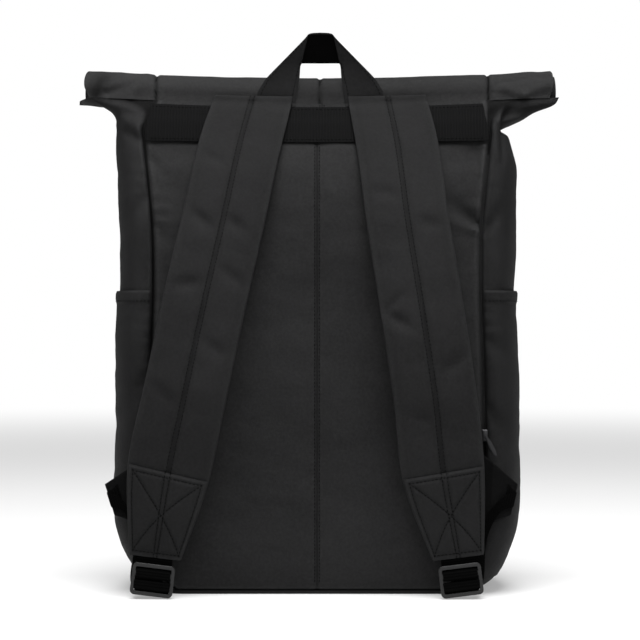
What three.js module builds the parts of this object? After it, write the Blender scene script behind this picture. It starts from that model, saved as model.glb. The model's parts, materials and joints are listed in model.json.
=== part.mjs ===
import * as THREE from 'three';

// Roll-top backpack, standing. +X is to the right of whoever looks at the back panel, +Y is the
// bag's front and +Z is up. The origin is the middle of the base, on the surface it stands on.
// Lengths are in millimetres.

// Bag body
const bodyHeight = 440; // base to the throat, where the mouth is pressed flat
const bodyWidth = 360; // across both filled gussets
const bodyDepth = 115; // back seam to front seam
const panelWidth = 300; // back panel, side seam to side seam
const wall = 1.5; // coated cloth with its lining
const baseThickness = 3;
const seamGap = 0.5; // between panels that are sewn together
const backCrown = 7; // swelling of the back panel
const frontCrown = 15; // swelling of the front panel
const gussetFullness = 10; // how the gussets puff past their seams
const mouthSag = 5; // dip of the roll at the middle of its width

// Rolled mouth
const rollRadius = 14; // centre line of the outer turn
const rollTurns = 2.25;
const rollGap = 0.8; // between turns
const rollRise = 7; // throat to the roll's axis
const rollOverhang = 5; // the roll past the throat, each side

// Webbing and the haul handle
const layGap = 0.35; // between layers that are sewn on each other
const bandSeat = 0.6; // webbing off the cloth that it is sewn on
const bandWidth = 35;
const bandDrop = 38.5; // throat to the band's lower edge
const bandThickness = 1.4;
const bandInset = 2; // from the side seams
const handleSpan = 107;
const handleRise = 65;
const handleThickness = 2.2;
const handleReach = 10; // how far its top edge leans off the bag

// Shoulder straps
const strapRise = 3.5; // throat to the straps' sewn tops
const strapEnd = 34;
const strapWidth = 72;
const strapThickness = 11;
const strapArch = 30; // how far a strap stands off the panel
const patchTop = 110;
const patchThickness = 1.4;

// Ladder-lock buckles and their webbing
const webbingWidth = 30;
const webbingThickness = 1.4;
const buckleWidth = 37;
const buckleRim = 3.6;
const buckleBar = 4;
const buckleSlot = 3.6; // between a rim and a bar
const buckleMiddleSlot = 5.6; // between the two bars
const buckleThickness = 3;
const buckleCorner = 4;
const buckleTilt = 7; // degrees, as the strap ends hang
const floorClearance = 0.4;

// Anchor wings at the lower side seams
const wingTop = 125;
const wingBottom = 60;
const wingReachLeft = 38; // seam to tip
const wingReachRight = 28; // folded back a little
const wingTipTop = 98;
const wingTipBottom = 71;
const wingThickness = 2.2;
const wingInset = 3; // its sewn edge, from the seam

// Side pockets and zip
const pocketTop = 268;
const pocketBottom = 14;
const pocketThickness = 1.5;
const pocketHem = 10;
const pocketHemThickness = 2.4;
const pocketTurn = 75; // degrees each way round the gusset
const zipDrop = 52; // throat to the zip's upper end
const zipBottom = 142;
const zipWidth = 6;
const zipThickness = 1.4;
const sliderLength = 11;
const sliderWidth = 8;
const sliderThickness = 3;
const pullerLength = 20;
const pullerWidth = 4;
const pullerThickness = 1.6;
const pullerLean = 28; // degrees from hanging straight down

// Front closure, plain
const closureWidth = 25;
const closureDrop = 105; // throat to the strap's end, behind the clasp
const closureThickness = 1.4;
const closureSeat = 0.8; // off the cloth under it
const claspWidth = 32;
const claspHeight = 40;
const claspThickness = 6;
const anchorLength = 45;

const throatThickness = 2 * wall + 0.6; // two layers of cloth pressed together
const bandBottom = bodyHeight - bandDrop;
const strapTop = bodyHeight + strapRise;
const zipTop = bodyHeight - zipDrop;
const closureEnd = bodyHeight - closureDrop;
const strapSeat = handleThickness + 3 * layGap; // strap off the panel, over a handle's leg
const pocketSeat = layGap + pocketThickness; // outside of a pocket, off its gusset

// A section of the bag at each level. at: share of bodyHeight. seam: side seam from the
// middle, share of panelWidth / 2. outer: gusset from the middle, share of bodyWidth / 2.
// mid: the section's middle in Y, share of bodyDepth / 2. open: share of the full depth.
// crown: share of the panels' crowns. full: share of gussetFullness.
const sections = rowsOf(['at', 'seam', 'outer', 'mid', 'open', 'crown', 'full'], [
  [0.0, 0.787, 0.822, 0.0, 0.876, 0.0, 0.0],
  [0.02, 0.87, 0.872, 0.0, 0.935, 0.15, 0.1],
  [0.05, 0.933, 0.922, 0.0, 0.975, 0.45, 0.35],
  [0.1, 0.975, 0.976, 0.0, 1.0, 0.8, 0.8],
  [0.16, 0.985, 1.004, 0.0, 1.0, 1.0, 1.0],
  [0.3, 0.987, 1.006, 0.0, 1.0, 1.0, 1.0],
  [0.45, 0.98, 1.0, 0.0, 1.0, 1.0, 1.0],
  [0.6, 0.966, 0.992, 0.0, 1.0, 1.0, 1.0],
  [0.73, 0.97, 1.0, 0.0, 0.99, 0.95, 0.9],
  [0.83, 0.997, 1.006, -0.04, 0.887, 0.7, 0.7],
  [0.885, 1.015, 0.997, -0.126, 0.717, 0.5, 0.5],
  [0.93, 1.027, 0.98, -0.255, 0.5, 0.3, 0.25],
  [0.955, 1.015, 0.988, -0.351, 0.348, 0.2, 0.1],
  [0.97, 1.007, 1.03, -0.412, 0.239, 0.12, 0.0],
  [0.985, 1.0, 1.1, -0.495, 0.107, 0.06, 0.0],
  [1.0, 0.99, 1.15, -0.522, 0.0, 0.0, 0.0],
]);

// Shoulder straps from their sewn tops (at 0) to their ends (at 1). left, right: middle line from
// the bag's middle, share of panelWidth / 2. tiltLeft, tiltRight: turn of the width, degrees.
// off: share of strapArch. wide: share of strapWidth. thick: share of strapThickness.
const strapRows = rowsOf(
  ['at', 'left', 'right', 'tiltLeft', 'tiltRight', 'off', 'wide', 'thick'],
  [
    [0.0, 0.374, 0.413, 0, 0, 0.0, 0.97, 0.5],
    [0.12, 0.453, 0.471, 11, 10, 0.03, 1.0, 0.85],
    [0.28, 0.54, 0.523, 12, 10, 0.36, 1.0, 1.0],
    [0.46, 0.647, 0.597, 12, 9.5, 0.8, 1.0, 1.0],
    [0.66, 0.761, 0.677, 12.5, 9, 1.0, 1.0, 1.0],
    [0.825, 0.857, 0.728, 13, 9.6, 0.93, 0.99, 0.85],
    [1.0, 0.936, 0.817, 7, 7, 0.62, 0.63, 0.45],
  ],
);

// Haul handle from a sewn leg (at 0) to its middle (at 1). outX, inX: outer and inner edge,
// share of handleSpan / 2. outZ, inZ: share of handleRise. lean: share of handleReach.
const handleRows = rowsOf(['at', 'outX', 'outZ', 'inX', 'inZ', 'lean'], [
  [0.0, 1.0, 0.0, 0.42, 0.0, 0.0],
  [0.2, 0.99, 0.14, 0.41, 0.14, 0.1],
  [0.4, 0.88, 0.37, 0.37, 0.365, 0.25],
  [0.6, 0.59, 0.67, 0.34, 0.55, 0.5],
  [0.8, 0.285, 0.975, 0.315, 0.6, 0.85],
  [1.0, 0.0, 1.0, 0.0, 0.6, 1.0],
]);

// Ends of the rolled cloth along its turns. at: share of the wound length. left, right: how far
// each end reaches, share of rollOverhang past the throat; the corner of the mouth pokes out left.
const rollEnds = rowsOf(['at', 'left', 'right'], [
  [0.0, 0.0, 0.0],
  [0.12, 0.8, 0.6],
  [0.3, 0.6, 1.4],
  [0.36, 1.9, 1.0],
  [0.42, 0.5, 1.5],
  [0.7, 0.9, 0.8],
  [1.0, 0.6, 1.0],
]);

// Broad dents in the filled panels. x: share of panelWidth / 2. z: share of bodyHeight.
// spanX, spanZ: their half sizes in the same shares. depth: millimetres inwards.
const backDents = rowsOf(['x', 'z', 'spanX', 'spanZ', 'depth'], [
  [-0.93, 0.62, 0.16, 0.1, 3],
  [0.93, 0.73, 0.14, 0.06, 3],
  [0.0, 0.5, 0.07, 0.6, 1.5],
  [-0.4, 0.8, 0.3, 0.07, 1.5],
  [0.45, 0.3, 0.3, 0.1, 1.5],
]);

const black = 0x232324;
const cloth = { color: black, roughness: 0.82, metalness: 0 };
const strapCloth = { color: 0x29292a, roughness: 0.8, metalness: 0 };
const webbing = { color: 0x161617, roughness: 0.7, metalness: 0 };
const plastic = { color: 0x3a3b3d, roughness: 0.38, metalness: 0 };
const metal = { color: 0x8d8f92, roughness: 0.35, metalness: 0.9 };

const bag = new THREE.Group();

// Turns rows of numbers into objects with named columns.
function rowsOf(names, rows) {
  return rows.map((row) => Object.fromEntries(names.map((name, i) => [name, row[i]])));
}

// Smooth value of every column of a table at a station, held at the table's ends.
function along(table, station) {
  const last = table.length - 1;
  const at = THREE.MathUtils.clamp(station, table[0].at, table[last].at);
  const i = Math.min(Math.max(table.findIndex((row) => row.at > at) - 1, 0), last - 1);
  const start = at === table[last].at ? last - 1 : i;
  const [before, a, b, after] = [-1, 0, 1, 2].map((step) => {
    return table[THREE.MathUtils.clamp(start + step, 0, last)];
  });
  const span = b.at - a.at;
  const t = (at - a.at) / span;
  const result = {};
  for (const name of Object.keys(a)) {
    const slopeA = (span * (b[name] - before[name])) / (b.at - before.at);
    const slopeB = (span * (after[name] - a[name])) / (after.at - a.at);
    result[name] =
      (2 * t ** 3 - 3 * t ** 2 + 1) * a[name] +
      (t ** 3 - 2 * t ** 2 + t) * slopeA +
      (3 * t ** 2 - 2 * t ** 3) * b[name] +
      (t ** 3 - t ** 2) * slopeB;
  }
  return result;
}

// The bag's measures at a height.
function sectionAt(z) {
  const row = along(sections, z / bodyHeight);
  const half = throatThickness / 2 + (row.open * (bodyDepth - throatThickness)) / 2;
  return {
    seam: (row.seam * panelWidth) / 2,
    outer: (row.outer * bodyWidth) / 2,
    mid: (row.mid * bodyDepth) / 2,
    half,
    crown: row.crown,
    full: row.full * gussetFullness,
  };
}

// How deep the dents of the back panel are at a point.
function dentAt(x, z) {
  let depth = 0;
  for (const dent of backDents) {
    const across = (x / (panelWidth / 2) - dent.x) / dent.spanX;
    const up = (z / bodyHeight - dent.z) / dent.spanZ;
    depth += dent.depth * Math.exp(-(across ** 2) - up ** 2);
  }
  return depth;
}

// Point `out` millimetres outside the back panel.
function backPoint(x, z, out) {
  const s = sectionAt(z);
  const swell = backCrown * s.crown * (1 - Math.min(1, (x / s.seam) ** 2));
  const dent = dentAt(x, z) * s.crown;
  return new THREE.Vector3(x, s.mid - s.half - swell + dent - out, z);
}

// Point `out` millimetres outside the front panel.
function frontPoint(x, z, out) {
  const s = sectionAt(z);
  const swell = frontCrown * s.crown * (1 - Math.min(1, (x / s.seam) ** 2));
  return new THREE.Vector3(x, s.mid + s.half + swell + out, z);
}

// Point `out` millimetres outside a gusset; turn runs from -90 degrees at the back seam to 90.
function sidePoint(side, turn, z, out) {
  const s = sectionAt(z);
  const angle = THREE.MathUtils.degToRad(turn);
  const reach = s.outer - s.seam + out;
  const puff = s.full * Math.sin(2 * angle);
  const dent = turn < 0 ? dentAt(side * s.seam, z) * s.crown * Math.sin(angle) ** 2 : 0;
  const y = s.mid + (s.half + out) * Math.sin(angle) + puff + dent;
  return new THREE.Vector3(side * (s.seam + seamGap / 2 + reach * Math.cos(angle)), y, z);
}

// The dip of the mouth, which everything near it follows.
function settle(point) {
  const rise = THREE.MathUtils.smoothstep(point.z, 0.84 * bodyHeight, bodyHeight);
  const half = bodyWidth / 2;
  const dip = mouthSag * rise * (1 - Math.min(1, (point.x / half) ** 2));
  return new THREE.Vector3(point.x, point.y, point.z - dip);
}

// Closed slab between two faces, each a function of (u, v) in 0 to 1.
function slab(rows, columns, near, far) {
  const positions = [];
  const index = [];
  const width = columns + 1;
  const layer = (rows + 1) * width;
  for (const face of [near, far]) {
    for (let i = 0; i <= rows; i += 1) {
      for (let j = 0; j <= columns; j += 1) {
        positions.push(...settle(face(i / rows, j / columns)).toArray());
      }
    }
  }
  const quad = (a, b, c, d) => index.push(a, b, c, a, c, d);
  for (let i = 0; i < rows; i += 1) {
    for (let j = 0; j < columns; j += 1) {
      const a = i * width + j;
      quad(a, a + width, a + width + 1, a + 1);
      quad(layer + a, layer + a + 1, layer + a + width + 1, layer + a + width);
    }
  }
  const edge = (a, b) => quad(a, b, layer + b, layer + a);
  for (let i = 0; i < rows; i += 1) {
    edge((i + 1) * width, i * width);
    edge(i * width + columns, (i + 1) * width + columns);
  }
  for (let j = 0; j < columns; j += 1) {
    edge(j, j + 1);
    edge(rows * width + j + 1, rows * width + j);
  }
  const geometry = new THREE.BufferGeometry();
  geometry.setAttribute('position', new THREE.Float32BufferAttribute(positions, 3));
  geometry.setIndex(volumeOf(positions, index) < 0 ? index.reverse() : index);
  geometry.computeVertexNormals();
  return geometry;
}

// Signed volume of a closed triangle mesh, six times over.
function volumeOf(positions, index) {
  const corner = (i) => new THREE.Vector3().fromArray(positions, 3 * index[i]);
  let volume = 0;
  for (let i = 0; i < index.length; i += 3) {
    volume += corner(i).dot(corner(i + 1).cross(corner(i + 2)));
  }
  return volume;
}

// Flat strip along a route: middle points and width directions, smoothed alike.
function ribbon(points, widths, width, thickness, steps) {
  const route = new THREE.CatmullRomCurve3(points, false, 'centripetal');
  const turn = new THREE.CatmullRomCurve3(widths, false, 'centripetal');
  const face = (out) => (u, v) => {
    const across = turn.getPoint(u).normalize();
    const ahead = route.getTangent(u);
    const off = new THREE.Vector3().crossVectors(across, ahead).normalize();
    return route
      .getPoint(u)
      .addScaledVector(across, (v - 0.5) * width)
      .addScaledVector(off, out);
  };
  return slab(steps, 1, face(-thickness / 2), face(thickness / 2));
}

function addPart(name, geometry, look) {
  const mesh = new THREE.Mesh(geometry, new THREE.MeshStandardMaterial(look));
  mesh.name = name;
  bag.add(mesh);
  return mesh;
}

const mix = THREE.MathUtils.lerp;
const sides = [
  { name: 'left', side: -1 },
  { name: 'right', side: 1 },
];

// Heights of the panels' rows, closer together near the base and the throat.
const panelRowCount = 19;
function panelHeight(share) {
  const eased = 0.5 - 0.5 * Math.cos(Math.PI * share);
  const level = 0.3 * share + 0.7 * eased;
  return mix(baseThickness + seamGap, bodyHeight, level);
}

// Heights between two ends that keep to the panels' rows, for what lies flat on a panel.
function rowsBetween(bottom, top) {
  const least = 2;
  const heights = [bottom];
  for (let row = 0; row <= panelRowCount; row += 1) {
    const z = panelHeight(row / panelRowCount);
    if (z > bottom + least && z < top - least) {
      heights.push(z);
    }
  }
  return [...heights, top];
}

function buildPanels() {
  const rows = panelRowCount;
  for (const { name, side } of sides) {
    const half = (out) => (u, v) => {
      const z = panelHeight(u);
      const x = side * mix(seamGap / 2, sectionAt(z).seam - seamGap / 2, v);
      return backPoint(x, z, out);
    };
    addPart(`back_panel_${name}`, slab(rows, 6, half(0), half(-wall)), cloth);
    const gusset = (out) => (u, v) => sidePoint(side, mix(-90, 90, v), panelHeight(u), out);
    addPart(`gusset_${name}`, slab(rows, 12, gusset(0), gusset(-wall)), cloth);
  }
  const front = (out) => (u, v) => {
    const z = panelHeight(u);
    const reach = sectionAt(z).seam - seamGap / 2;
    return frontPoint(mix(-reach, reach, v), z, out);
  };
  addPart('front_panel', slab(rows, 8, front(0), front(-wall)), cloth);
}

function buildBase() {
  const outline = [];
  const seam = sectionAt(0).seam;
  for (const { side } of sides) {
    outline.push(backPoint(side * seam, 0, 0));
    if (side > 0) {
      for (let turn = -75; turn <= 75; turn += 15) {
        outline.push(sidePoint(1, turn, 0, 0));
      }
      outline.push(frontPoint(seam, 0, 0), frontPoint(-seam, 0, 0));
    }
  }
  for (let turn = 75; turn >= -75; turn -= 15) {
    outline.push(sidePoint(-1, turn, 0, 0));
  }
  const shape = new THREE.Shape(outline.map((point) => new THREE.Vector2(point.x, point.y)));
  const options = { depth: baseThickness, bevelEnabled: false };
  addPart('base_panel', new THREE.ExtrudeGeometry(shape, options), cloth);
}

// Middle line of the rolled cloth: up from the throat, then round towards the front.
const throatY = sectionAt(bodyHeight).mid;
const rollStart = bodyHeight + seamGap;
const rollAxisZ = bodyHeight + rollRise;
const rollRows = 36;

function rollPoint(share, out) {
  const straight = rollRise - seamGap;
  const pitch = throatThickness + rollGap;
  const wound = 2 * Math.PI * rollTurns;
  const rise = 0.06; // share of the rows that lie on the straight rise
  const axisY = throatY + rollRadius;
  if (share < rise) {
    return { y: throatY - out, z: rollStart + (straight * share) / rise };
  }
  const angle = (wound * (share - rise)) / (1 - rise);
  const radius = rollRadius - (pitch * angle) / (2 * Math.PI) + out;
  return { y: axisY - radius * Math.cos(angle), z: rollAxisZ + radius * Math.sin(angle) };
}

function buildRoll() {
  const throatHalf = sectionAt(bodyHeight).outer;
  const face = (out) => (u, v) => {
    const ends = along(rollEnds, u);
    const left = -throatHalf - rollOverhang * ends.left;
    const right = throatHalf + rollOverhang * ends.right;
    const { y, z } = rollPoint(u, out);
    return new THREE.Vector3(mix(left, right, v), y, z);
  };
  const half = throatThickness / 2;
  addPart('roll_top', slab(rollRows, 10, face(half), face(-half)), cloth);
}

function buildBandAndHandle() {
  const heights = rowsBetween(bandBottom, bandBottom + bandWidth);
  const band = (out) => (u, v) => {
    const z = heights[Math.round(u * (heights.length - 1))];
    const reach = sectionAt(z).seam - bandInset;
    return backPoint(mix(-reach, reach, v), z, out);
  };
  const bandFaces = [band(bandSeat + bandThickness), band(bandSeat)];
  addPart('top_band', slab(heights.length - 1, 12, ...bandFaces), webbing);

  const legBottom = bandBottom + bandWidth + layGap;
  const handle = (out) => (u, v) => {
    const side = u < 0.5 ? -1 : 1;
    const row = along(handleRows, 1 - Math.abs(2 * u - 1));
    const x = (side * mix(row.inX, row.outX, v) * handleSpan) / 2;
    const z = legBottom + mix(row.inZ, row.outZ, v) * handleRise;
    const foot = backPoint(x, Math.min(z, bodyHeight), layGap).y;
    const lean = handleReach * row.lean * v;
    return new THREE.Vector3(x, foot - lean - out, z);
  };
  addPart('haul_handle', slab(20, 2, handle(handleThickness), handle(0)), webbing);
}

// Middle, width direction and sizes of a strap at a share of its length.
function strapAt(side, share) {
  const row = along(strapRows, share);
  const z = mix(strapTop, strapEnd, share);
  const x = (side * (side < 0 ? row.left : row.right) * panelWidth) / 2;
  const tilt = THREE.MathUtils.degToRad(side < 0 ? row.tiltLeft : row.tiltRight);
  const thickness = row.thick * strapThickness;
  const seat = backPoint(x, Math.min(z, bodyHeight), strapSeat + row.off * strapArch).y;
  return {
    middle: new THREE.Vector3(x, seat - thickness / 2, z),
    across: new THREE.Vector3(Math.cos(tilt), 0, side * Math.sin(tilt)),
    width: row.wide * strapWidth,
    thickness,
  };
}

// Point on a strap: across from -1 to 1, face -1 on the bag's side and 1 outside.
function strapPoint(side, share, across, face, out) {
  const { middle, across: direction, width, thickness } = strapAt(side, share);
  const pad = 0.25 + 0.75 * (1 - across ** 4);
  const offset = face * ((thickness / 2) * pad + out);
  return middle
    .clone()
    .addScaledVector(direction, (across * width) / 2)
    .add(new THREE.Vector3(0, -offset, 0));
}

function buildStraps() {
  for (const { name, side } of sides) {
    const face = (which) => (u, v) => strapPoint(side, u, 2 * v - 1, which, 0);
    addPart(`shoulder_strap_${name}`, slab(20, 6, face(1), face(-1)), strapCloth);
    const patchStart = (strapTop - patchTop) / (strapTop - strapEnd);
    const patch = (out) => (u, v) => {
      return strapPoint(side, mix(patchStart, 1, u), (2 * v - 1) * 0.97, 1, out);
    };
    const near = patch(layGap + patchThickness);
    addPart(`strap_patch_${name}`, slab(5, 6, near, patch(layGap)), cloth);
  }
}

const buckleHeight = 2 * (buckleRim + buckleSlot + buckleBar) + buckleMiddleSlot;

// Centre of a buckle and the place of a point given in its own frame: x across, y back, z up.
function buckleFrame(side) {
  const { middle, thickness } = strapAt(side, 1);
  const tilt = THREE.MathUtils.degToRad(buckleTilt);
  const corner = (buckleWidth / 2) * Math.sin(tilt) + (buckleHeight / 2) * Math.cos(tilt);
  const back = buckleThickness / 2 + layGap + webbingThickness / 2;
  const z = corner + floorClearance;
  const drop = (middle.z - z) * Math.tan(tilt);
  const centre = new THREE.Vector3(middle.x + side * drop, middle.y - back - thickness / 6, z);
  const turn = new THREE.Matrix4().makeRotationY(-side * tilt);
  return {
    centre,
    rotation: -side * tilt,
    place: (x, y, z0) => new THREE.Vector3(x, y, z0).applyMatrix4(turn).add(centre),
    across: new THREE.Vector3(1, 0, 0).applyMatrix4(turn),
  };
}

function roundedRectangle(Kind, x0, z0, width, height, radius) {
  const shape = new Kind();
  const [x1, z1] = [x0 + width, z0 + height];
  shape.moveTo(x0 + radius, z0);
  shape.lineTo(x1 - radius, z0);
  shape.quadraticCurveTo(x1, z0, x1, z0 + radius);
  shape.lineTo(x1, z1 - radius);
  shape.quadraticCurveTo(x1, z1, x1 - radius, z1);
  shape.lineTo(x0 + radius, z1);
  shape.quadraticCurveTo(x0, z1, x0, z1 - radius);
  shape.lineTo(x0, z0 + radius);
  shape.quadraticCurveTo(x0, z0, x0 + radius, z0);
  return shape;
}

function buildBuckles() {
  const slotWidth = webbingWidth + 2 * layGap;
  const slotCorner = 0.8;
  for (const { name, side } of sides) {
    const frame = buckleFrame(side);
    const shape = roundedRectangle(
      THREE.Shape, -buckleWidth / 2, -buckleHeight / 2, buckleWidth, buckleHeight, buckleCorner,
    );
    const bottom = -buckleHeight / 2 + buckleRim;
    const slots = [
      { z: bottom, height: buckleSlot },
      { z: -buckleMiddleSlot / 2, height: buckleMiddleSlot },
      { z: -bottom - buckleSlot, height: buckleSlot },
    ];
    for (const { z, height } of slots) {
      shape.holes.push(
        roundedRectangle(THREE.Path, -slotWidth / 2, z, slotWidth, height, slotCorner),
      );
    }
    const options = { depth: buckleThickness, bevelEnabled: false, curveSegments: 3 };
    const geometry = new THREE.ExtrudeGeometry(shape, options);
    geometry.translate(0, 0, -buckleThickness / 2);
    geometry.rotateX(Math.PI / 2);
    const buckle = addPart(`ladder_lock_${name}`, geometry, plastic);
    buckle.position.copy(frame.centre);
    buckle.rotation.y = frame.rotation;
    buildBuckleWebbing(name, side, frame);
  }
}

// Route of webbing round a buckle's bar, in (back, up) pairs: in behind the rim, out over the
// bar's face and back behind itself. up is 1 for the upper bar and -1 for the lower one.
function barRoute(up) {
  const lay = layGap + webbingThickness / 2;
  const face = buckleThickness / 2;
  const behind = face + lay + webbingThickness + layGap;
  const inner = buckleMiddleSlot / 2;
  const outer = inner + buckleBar;
  const rim = outer + buckleSlot;
  const route = [
    [face + lay, rim + buckleRim],
    [face + lay, rim + buckleRim / 2],
    [face + 0.9 * lay, rim - 0.4 * lay],
    [face, rim - 1.35 * lay],
    [0, rim - buckleSlot / 2],
    [-face, outer + 1.25 * lay],
    [-face - 0.95 * lay, outer + 0.2 * lay],
    [-face - lay, (inner + outer) / 2],
    [-face - 0.95 * lay, inner - 0.2 * lay],
    [-face, inner - 1.25 * lay],
    [0, inner - 1.45 * lay],
    [face, inner - 1.25 * lay],
    [face + 0.95 * lay, inner - 0.2 * lay],
    [face + 1.1 * lay, (inner + outer) / 2],
    [face + 1.7 * lay, outer + 0.2 * lay],
    [behind, rim - 1.2 * lay],
    [behind, rim + buckleRim / 2],
    [behind, rim + buckleRim],
  ];
  return route.map(([back, z]) => [back, up * z]);
}

function buildBuckleWebbing(name, side, frame) {
  const loop = barRoute(1).map(([y, z]) => frame.place(0, y, z));
  const loopWidths = loop.map(() => frame.across);
  const looped = ribbon(loop, loopWidths, webbingWidth, webbingThickness, 38);
  addPart(`buckle_loop_${name}`, looped, webbing);

  const tip = wingTip(side);
  const off = bandSeat + webbingThickness / 2;
  const onWing = [1, 0.86, 0.72].map((away) => wingPoint(side, 0.5, away, wingThickness + off));
  const route = barRoute(-1).slice(1, -2).map(([y, z]) => frame.place(0, y, z));
  const widths = route.map(() => frame.across);
  const tipAcross = tip.across.clone().multiplyScalar(side);
  const leaving = frame.place(side * 6, 11, -buckleHeight * 0.1);
  const bend = onWing[0].clone().add(new THREE.Vector3(-side * 5, -5, -6));
  const half = leaving.clone().lerp(bend, 0.5).add(new THREE.Vector3(side * 3, 0, -3));
  route.push(leaving, half, bend, ...onWing);
  widths.push(frame.across.clone().lerp(tipAcross, 0.15));
  widths.push(frame.across.clone().lerp(tipAcross, 0.55));
  widths.push(tipAcross, tipAcross, tipAcross, tipAcross);
  const adjusting = ribbon(route, widths, webbingWidth, webbingThickness, 46);
  addPart(`adjust_webbing_${name}`, adjusting, webbing);
}

// The wing's outer edge: its ends and its direction.
function wingTip(side) {
  const seam = sectionAt(wingTipTop).seam;
  const y = sidePoint(side, -60, wingTipTop, pocketSeat + 2 * layGap).y;
  const reach = side < 0 ? wingReachLeft : wingReachRight;
  const top = new THREE.Vector3(side * (seam + reach), y, wingTipTop);
  const bottom = new THREE.Vector3(side * (seam + reach * 0.78), y, wingTipBottom);
  return { top, bottom, across: bottom.clone().sub(top).normalize() };
}

// Point `out` millimetres off a wing's inner face: up from 0 to 1, away from the seam to the tip.
function wingPoint(side, up, away, out) {
  const tip = wingTip(side);
  const z = mix(wingBottom, wingTop, up);
  const sewn = backPoint(side * (sectionAt(z).seam - wingInset), z, layGap);
  const ridge = sidePoint(side, -72, z, pocketSeat + 2 * layGap);
  const end = tip.bottom.clone().lerp(tip.top, up);
  const ridgeAt = 0.3;
  const over = sewn.clone().lerp(end, ridgeAt);
  over.y = ridge.y;
  const inner = away / ridgeAt;
  const outer = (away - ridgeAt) / (1 - ridgeAt);
  const point = away < ridgeAt ? sewn.lerp(over, inner) : over.lerp(end, outer);
  return point.add(new THREE.Vector3(0, -out, 0));
}

function buildWings() {
  for (const { name, side } of sides) {
    const face = (out) => (u, v) => wingPoint(side, u, v, out);
    addPart(`anchor_wing_${name}`, slab(6, 10, face(wingThickness), face(0)), cloth);
  }
}

function buildPockets() {
  for (const { name, side } of sides) {
    const heights = rowsBetween(pocketBottom, pocketTop);
    const rows = heights.length - 1;
    const face = (outer) => (u, v) => {
      const z = heights[Math.round(u * rows)];
      const hem = THREE.MathUtils.smoothstep(z, pocketTop - 2 * pocketHem, pocketTop - pocketHem);
      const thickness = outer ? mix(pocketThickness, pocketHemThickness, hem) : 0;
      return sidePoint(side, mix(-pocketTurn, pocketTurn, v), z, layGap + thickness);
    };
    addPart(`side_pocket_${name}`, slab(rows, 10, face(true), face(false)), cloth);
  }
}

// Point of the zip's own line, over the right side seam.
function zipPoint(across, z, out) {
  const seam = sectionAt(z).seam;
  const onPanel = backPoint(seam, z, 0);
  return new THREE.Vector3(seam + across, onPanel.y - out, z);
}

function buildZip() {
  const clear = gussetFullness * 0.2;
  const strip = (out) => (u, v) => {
    const z = mix(zipBottom, zipTop, u);
    return zipPoint((v - 0.5) * zipWidth, z, clear + out);
  };
  addPart('zip_strip', slab(14, 2, strip(zipThickness), strip(0)), webbing);

  const seat = clear + zipThickness + layGap;
  const slider = (out) => (u, v) => {
    const z = mix(zipBottom, zipBottom + sliderLength, u);
    const taper = mix(0.7, 1, u);
    return zipPoint((v - 0.5) * sliderWidth * taper, z, seat + out);
  };
  addPart('zip_slider', slab(3, 2, slider(sliderThickness), slider(0)), metal);

  const lean = THREE.MathUtils.degToRad(pullerLean);
  const hang = zipPoint(0, zipBottom + sliderLength / 2, seat + sliderThickness + layGap);
  const puller = (out) => (u, v) => {
    const down = pullerLength * u;
    const across = (v - 0.5) * pullerWidth;
    const x = down * Math.sin(lean) + across * Math.cos(lean);
    const z = -down * Math.cos(lean) + across * Math.sin(lean);
    return new THREE.Vector3(hang.x + x, hang.y - out, hang.z + z);
  };
  addPart('zip_puller', slab(3, 1, puller(pullerThickness), puller(0)), metal);
}

// Route of the front closure: sewn to the front of the roll's outer turn, down to the front panel
// and along it.
function closureRoute(out) {
  const points = [];
  for (const row of [7, 8, 9]) {
    const { y, z } = rollPoint(row / rollRows, throatThickness / 2 + out);
    points.push(new THREE.Vector3(0, y, z));
  }
  for (const z of rowsBetween(closureEnd, 0.88 * bodyHeight).reverse()) {
    points.push(frontPoint(0, z, out));
  }
  return points;
}

function buildClosure() {
  const route = closureRoute(closureSeat + closureThickness / 2);
  const widths = route.map(() => new THREE.Vector3(1, 0, 0));
  const strap = ribbon(route, widths, closureWidth, closureThickness, 24);
  addPart('closure_strap', strap, webbing);

  const anchorTop = closureEnd - layGap;
  const anchor = (out) => (u, v) => {
    const z = mix(anchorTop - anchorLength, anchorTop, u);
    return frontPoint((v - 0.5) * closureWidth, z, out);
  };
  const anchorFaces = [anchor(closureSeat + closureThickness), anchor(closureSeat)];
  addPart('closure_anchor', slab(3, 2, ...anchorFaces), webbing);

  const clasp = (out) => (u, v) => {
    const z = mix(closureEnd - claspHeight / 2, closureEnd + claspHeight / 2, u);
    return frontPoint((v - 0.5) * claspWidth, z, closureSeat + closureThickness + layGap + out);
  };
  addPart('closure_clasp', slab(3, 2, clasp(claspThickness), clasp(0)), plastic);
}

buildPanels();
buildBase();
buildRoll();
buildBandAndHandle();
buildStraps();
buildBuckles();
buildWings();
buildPockets();
buildZip();
buildClosure();

export default bag;
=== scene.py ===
"""Roll-top backpack, standing on a pale floor, seen from its back panel."""
import json
import logging
import math
from dataclasses import dataclass, field
from enum import Enum
from functools import partial
from typing import Callable, Iterable, Sequence

import bmesh
import bpy
import numpy as np
from mathutils import Matrix, Vector, noise
from mathutils.bvhtree import BVHTree

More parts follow.
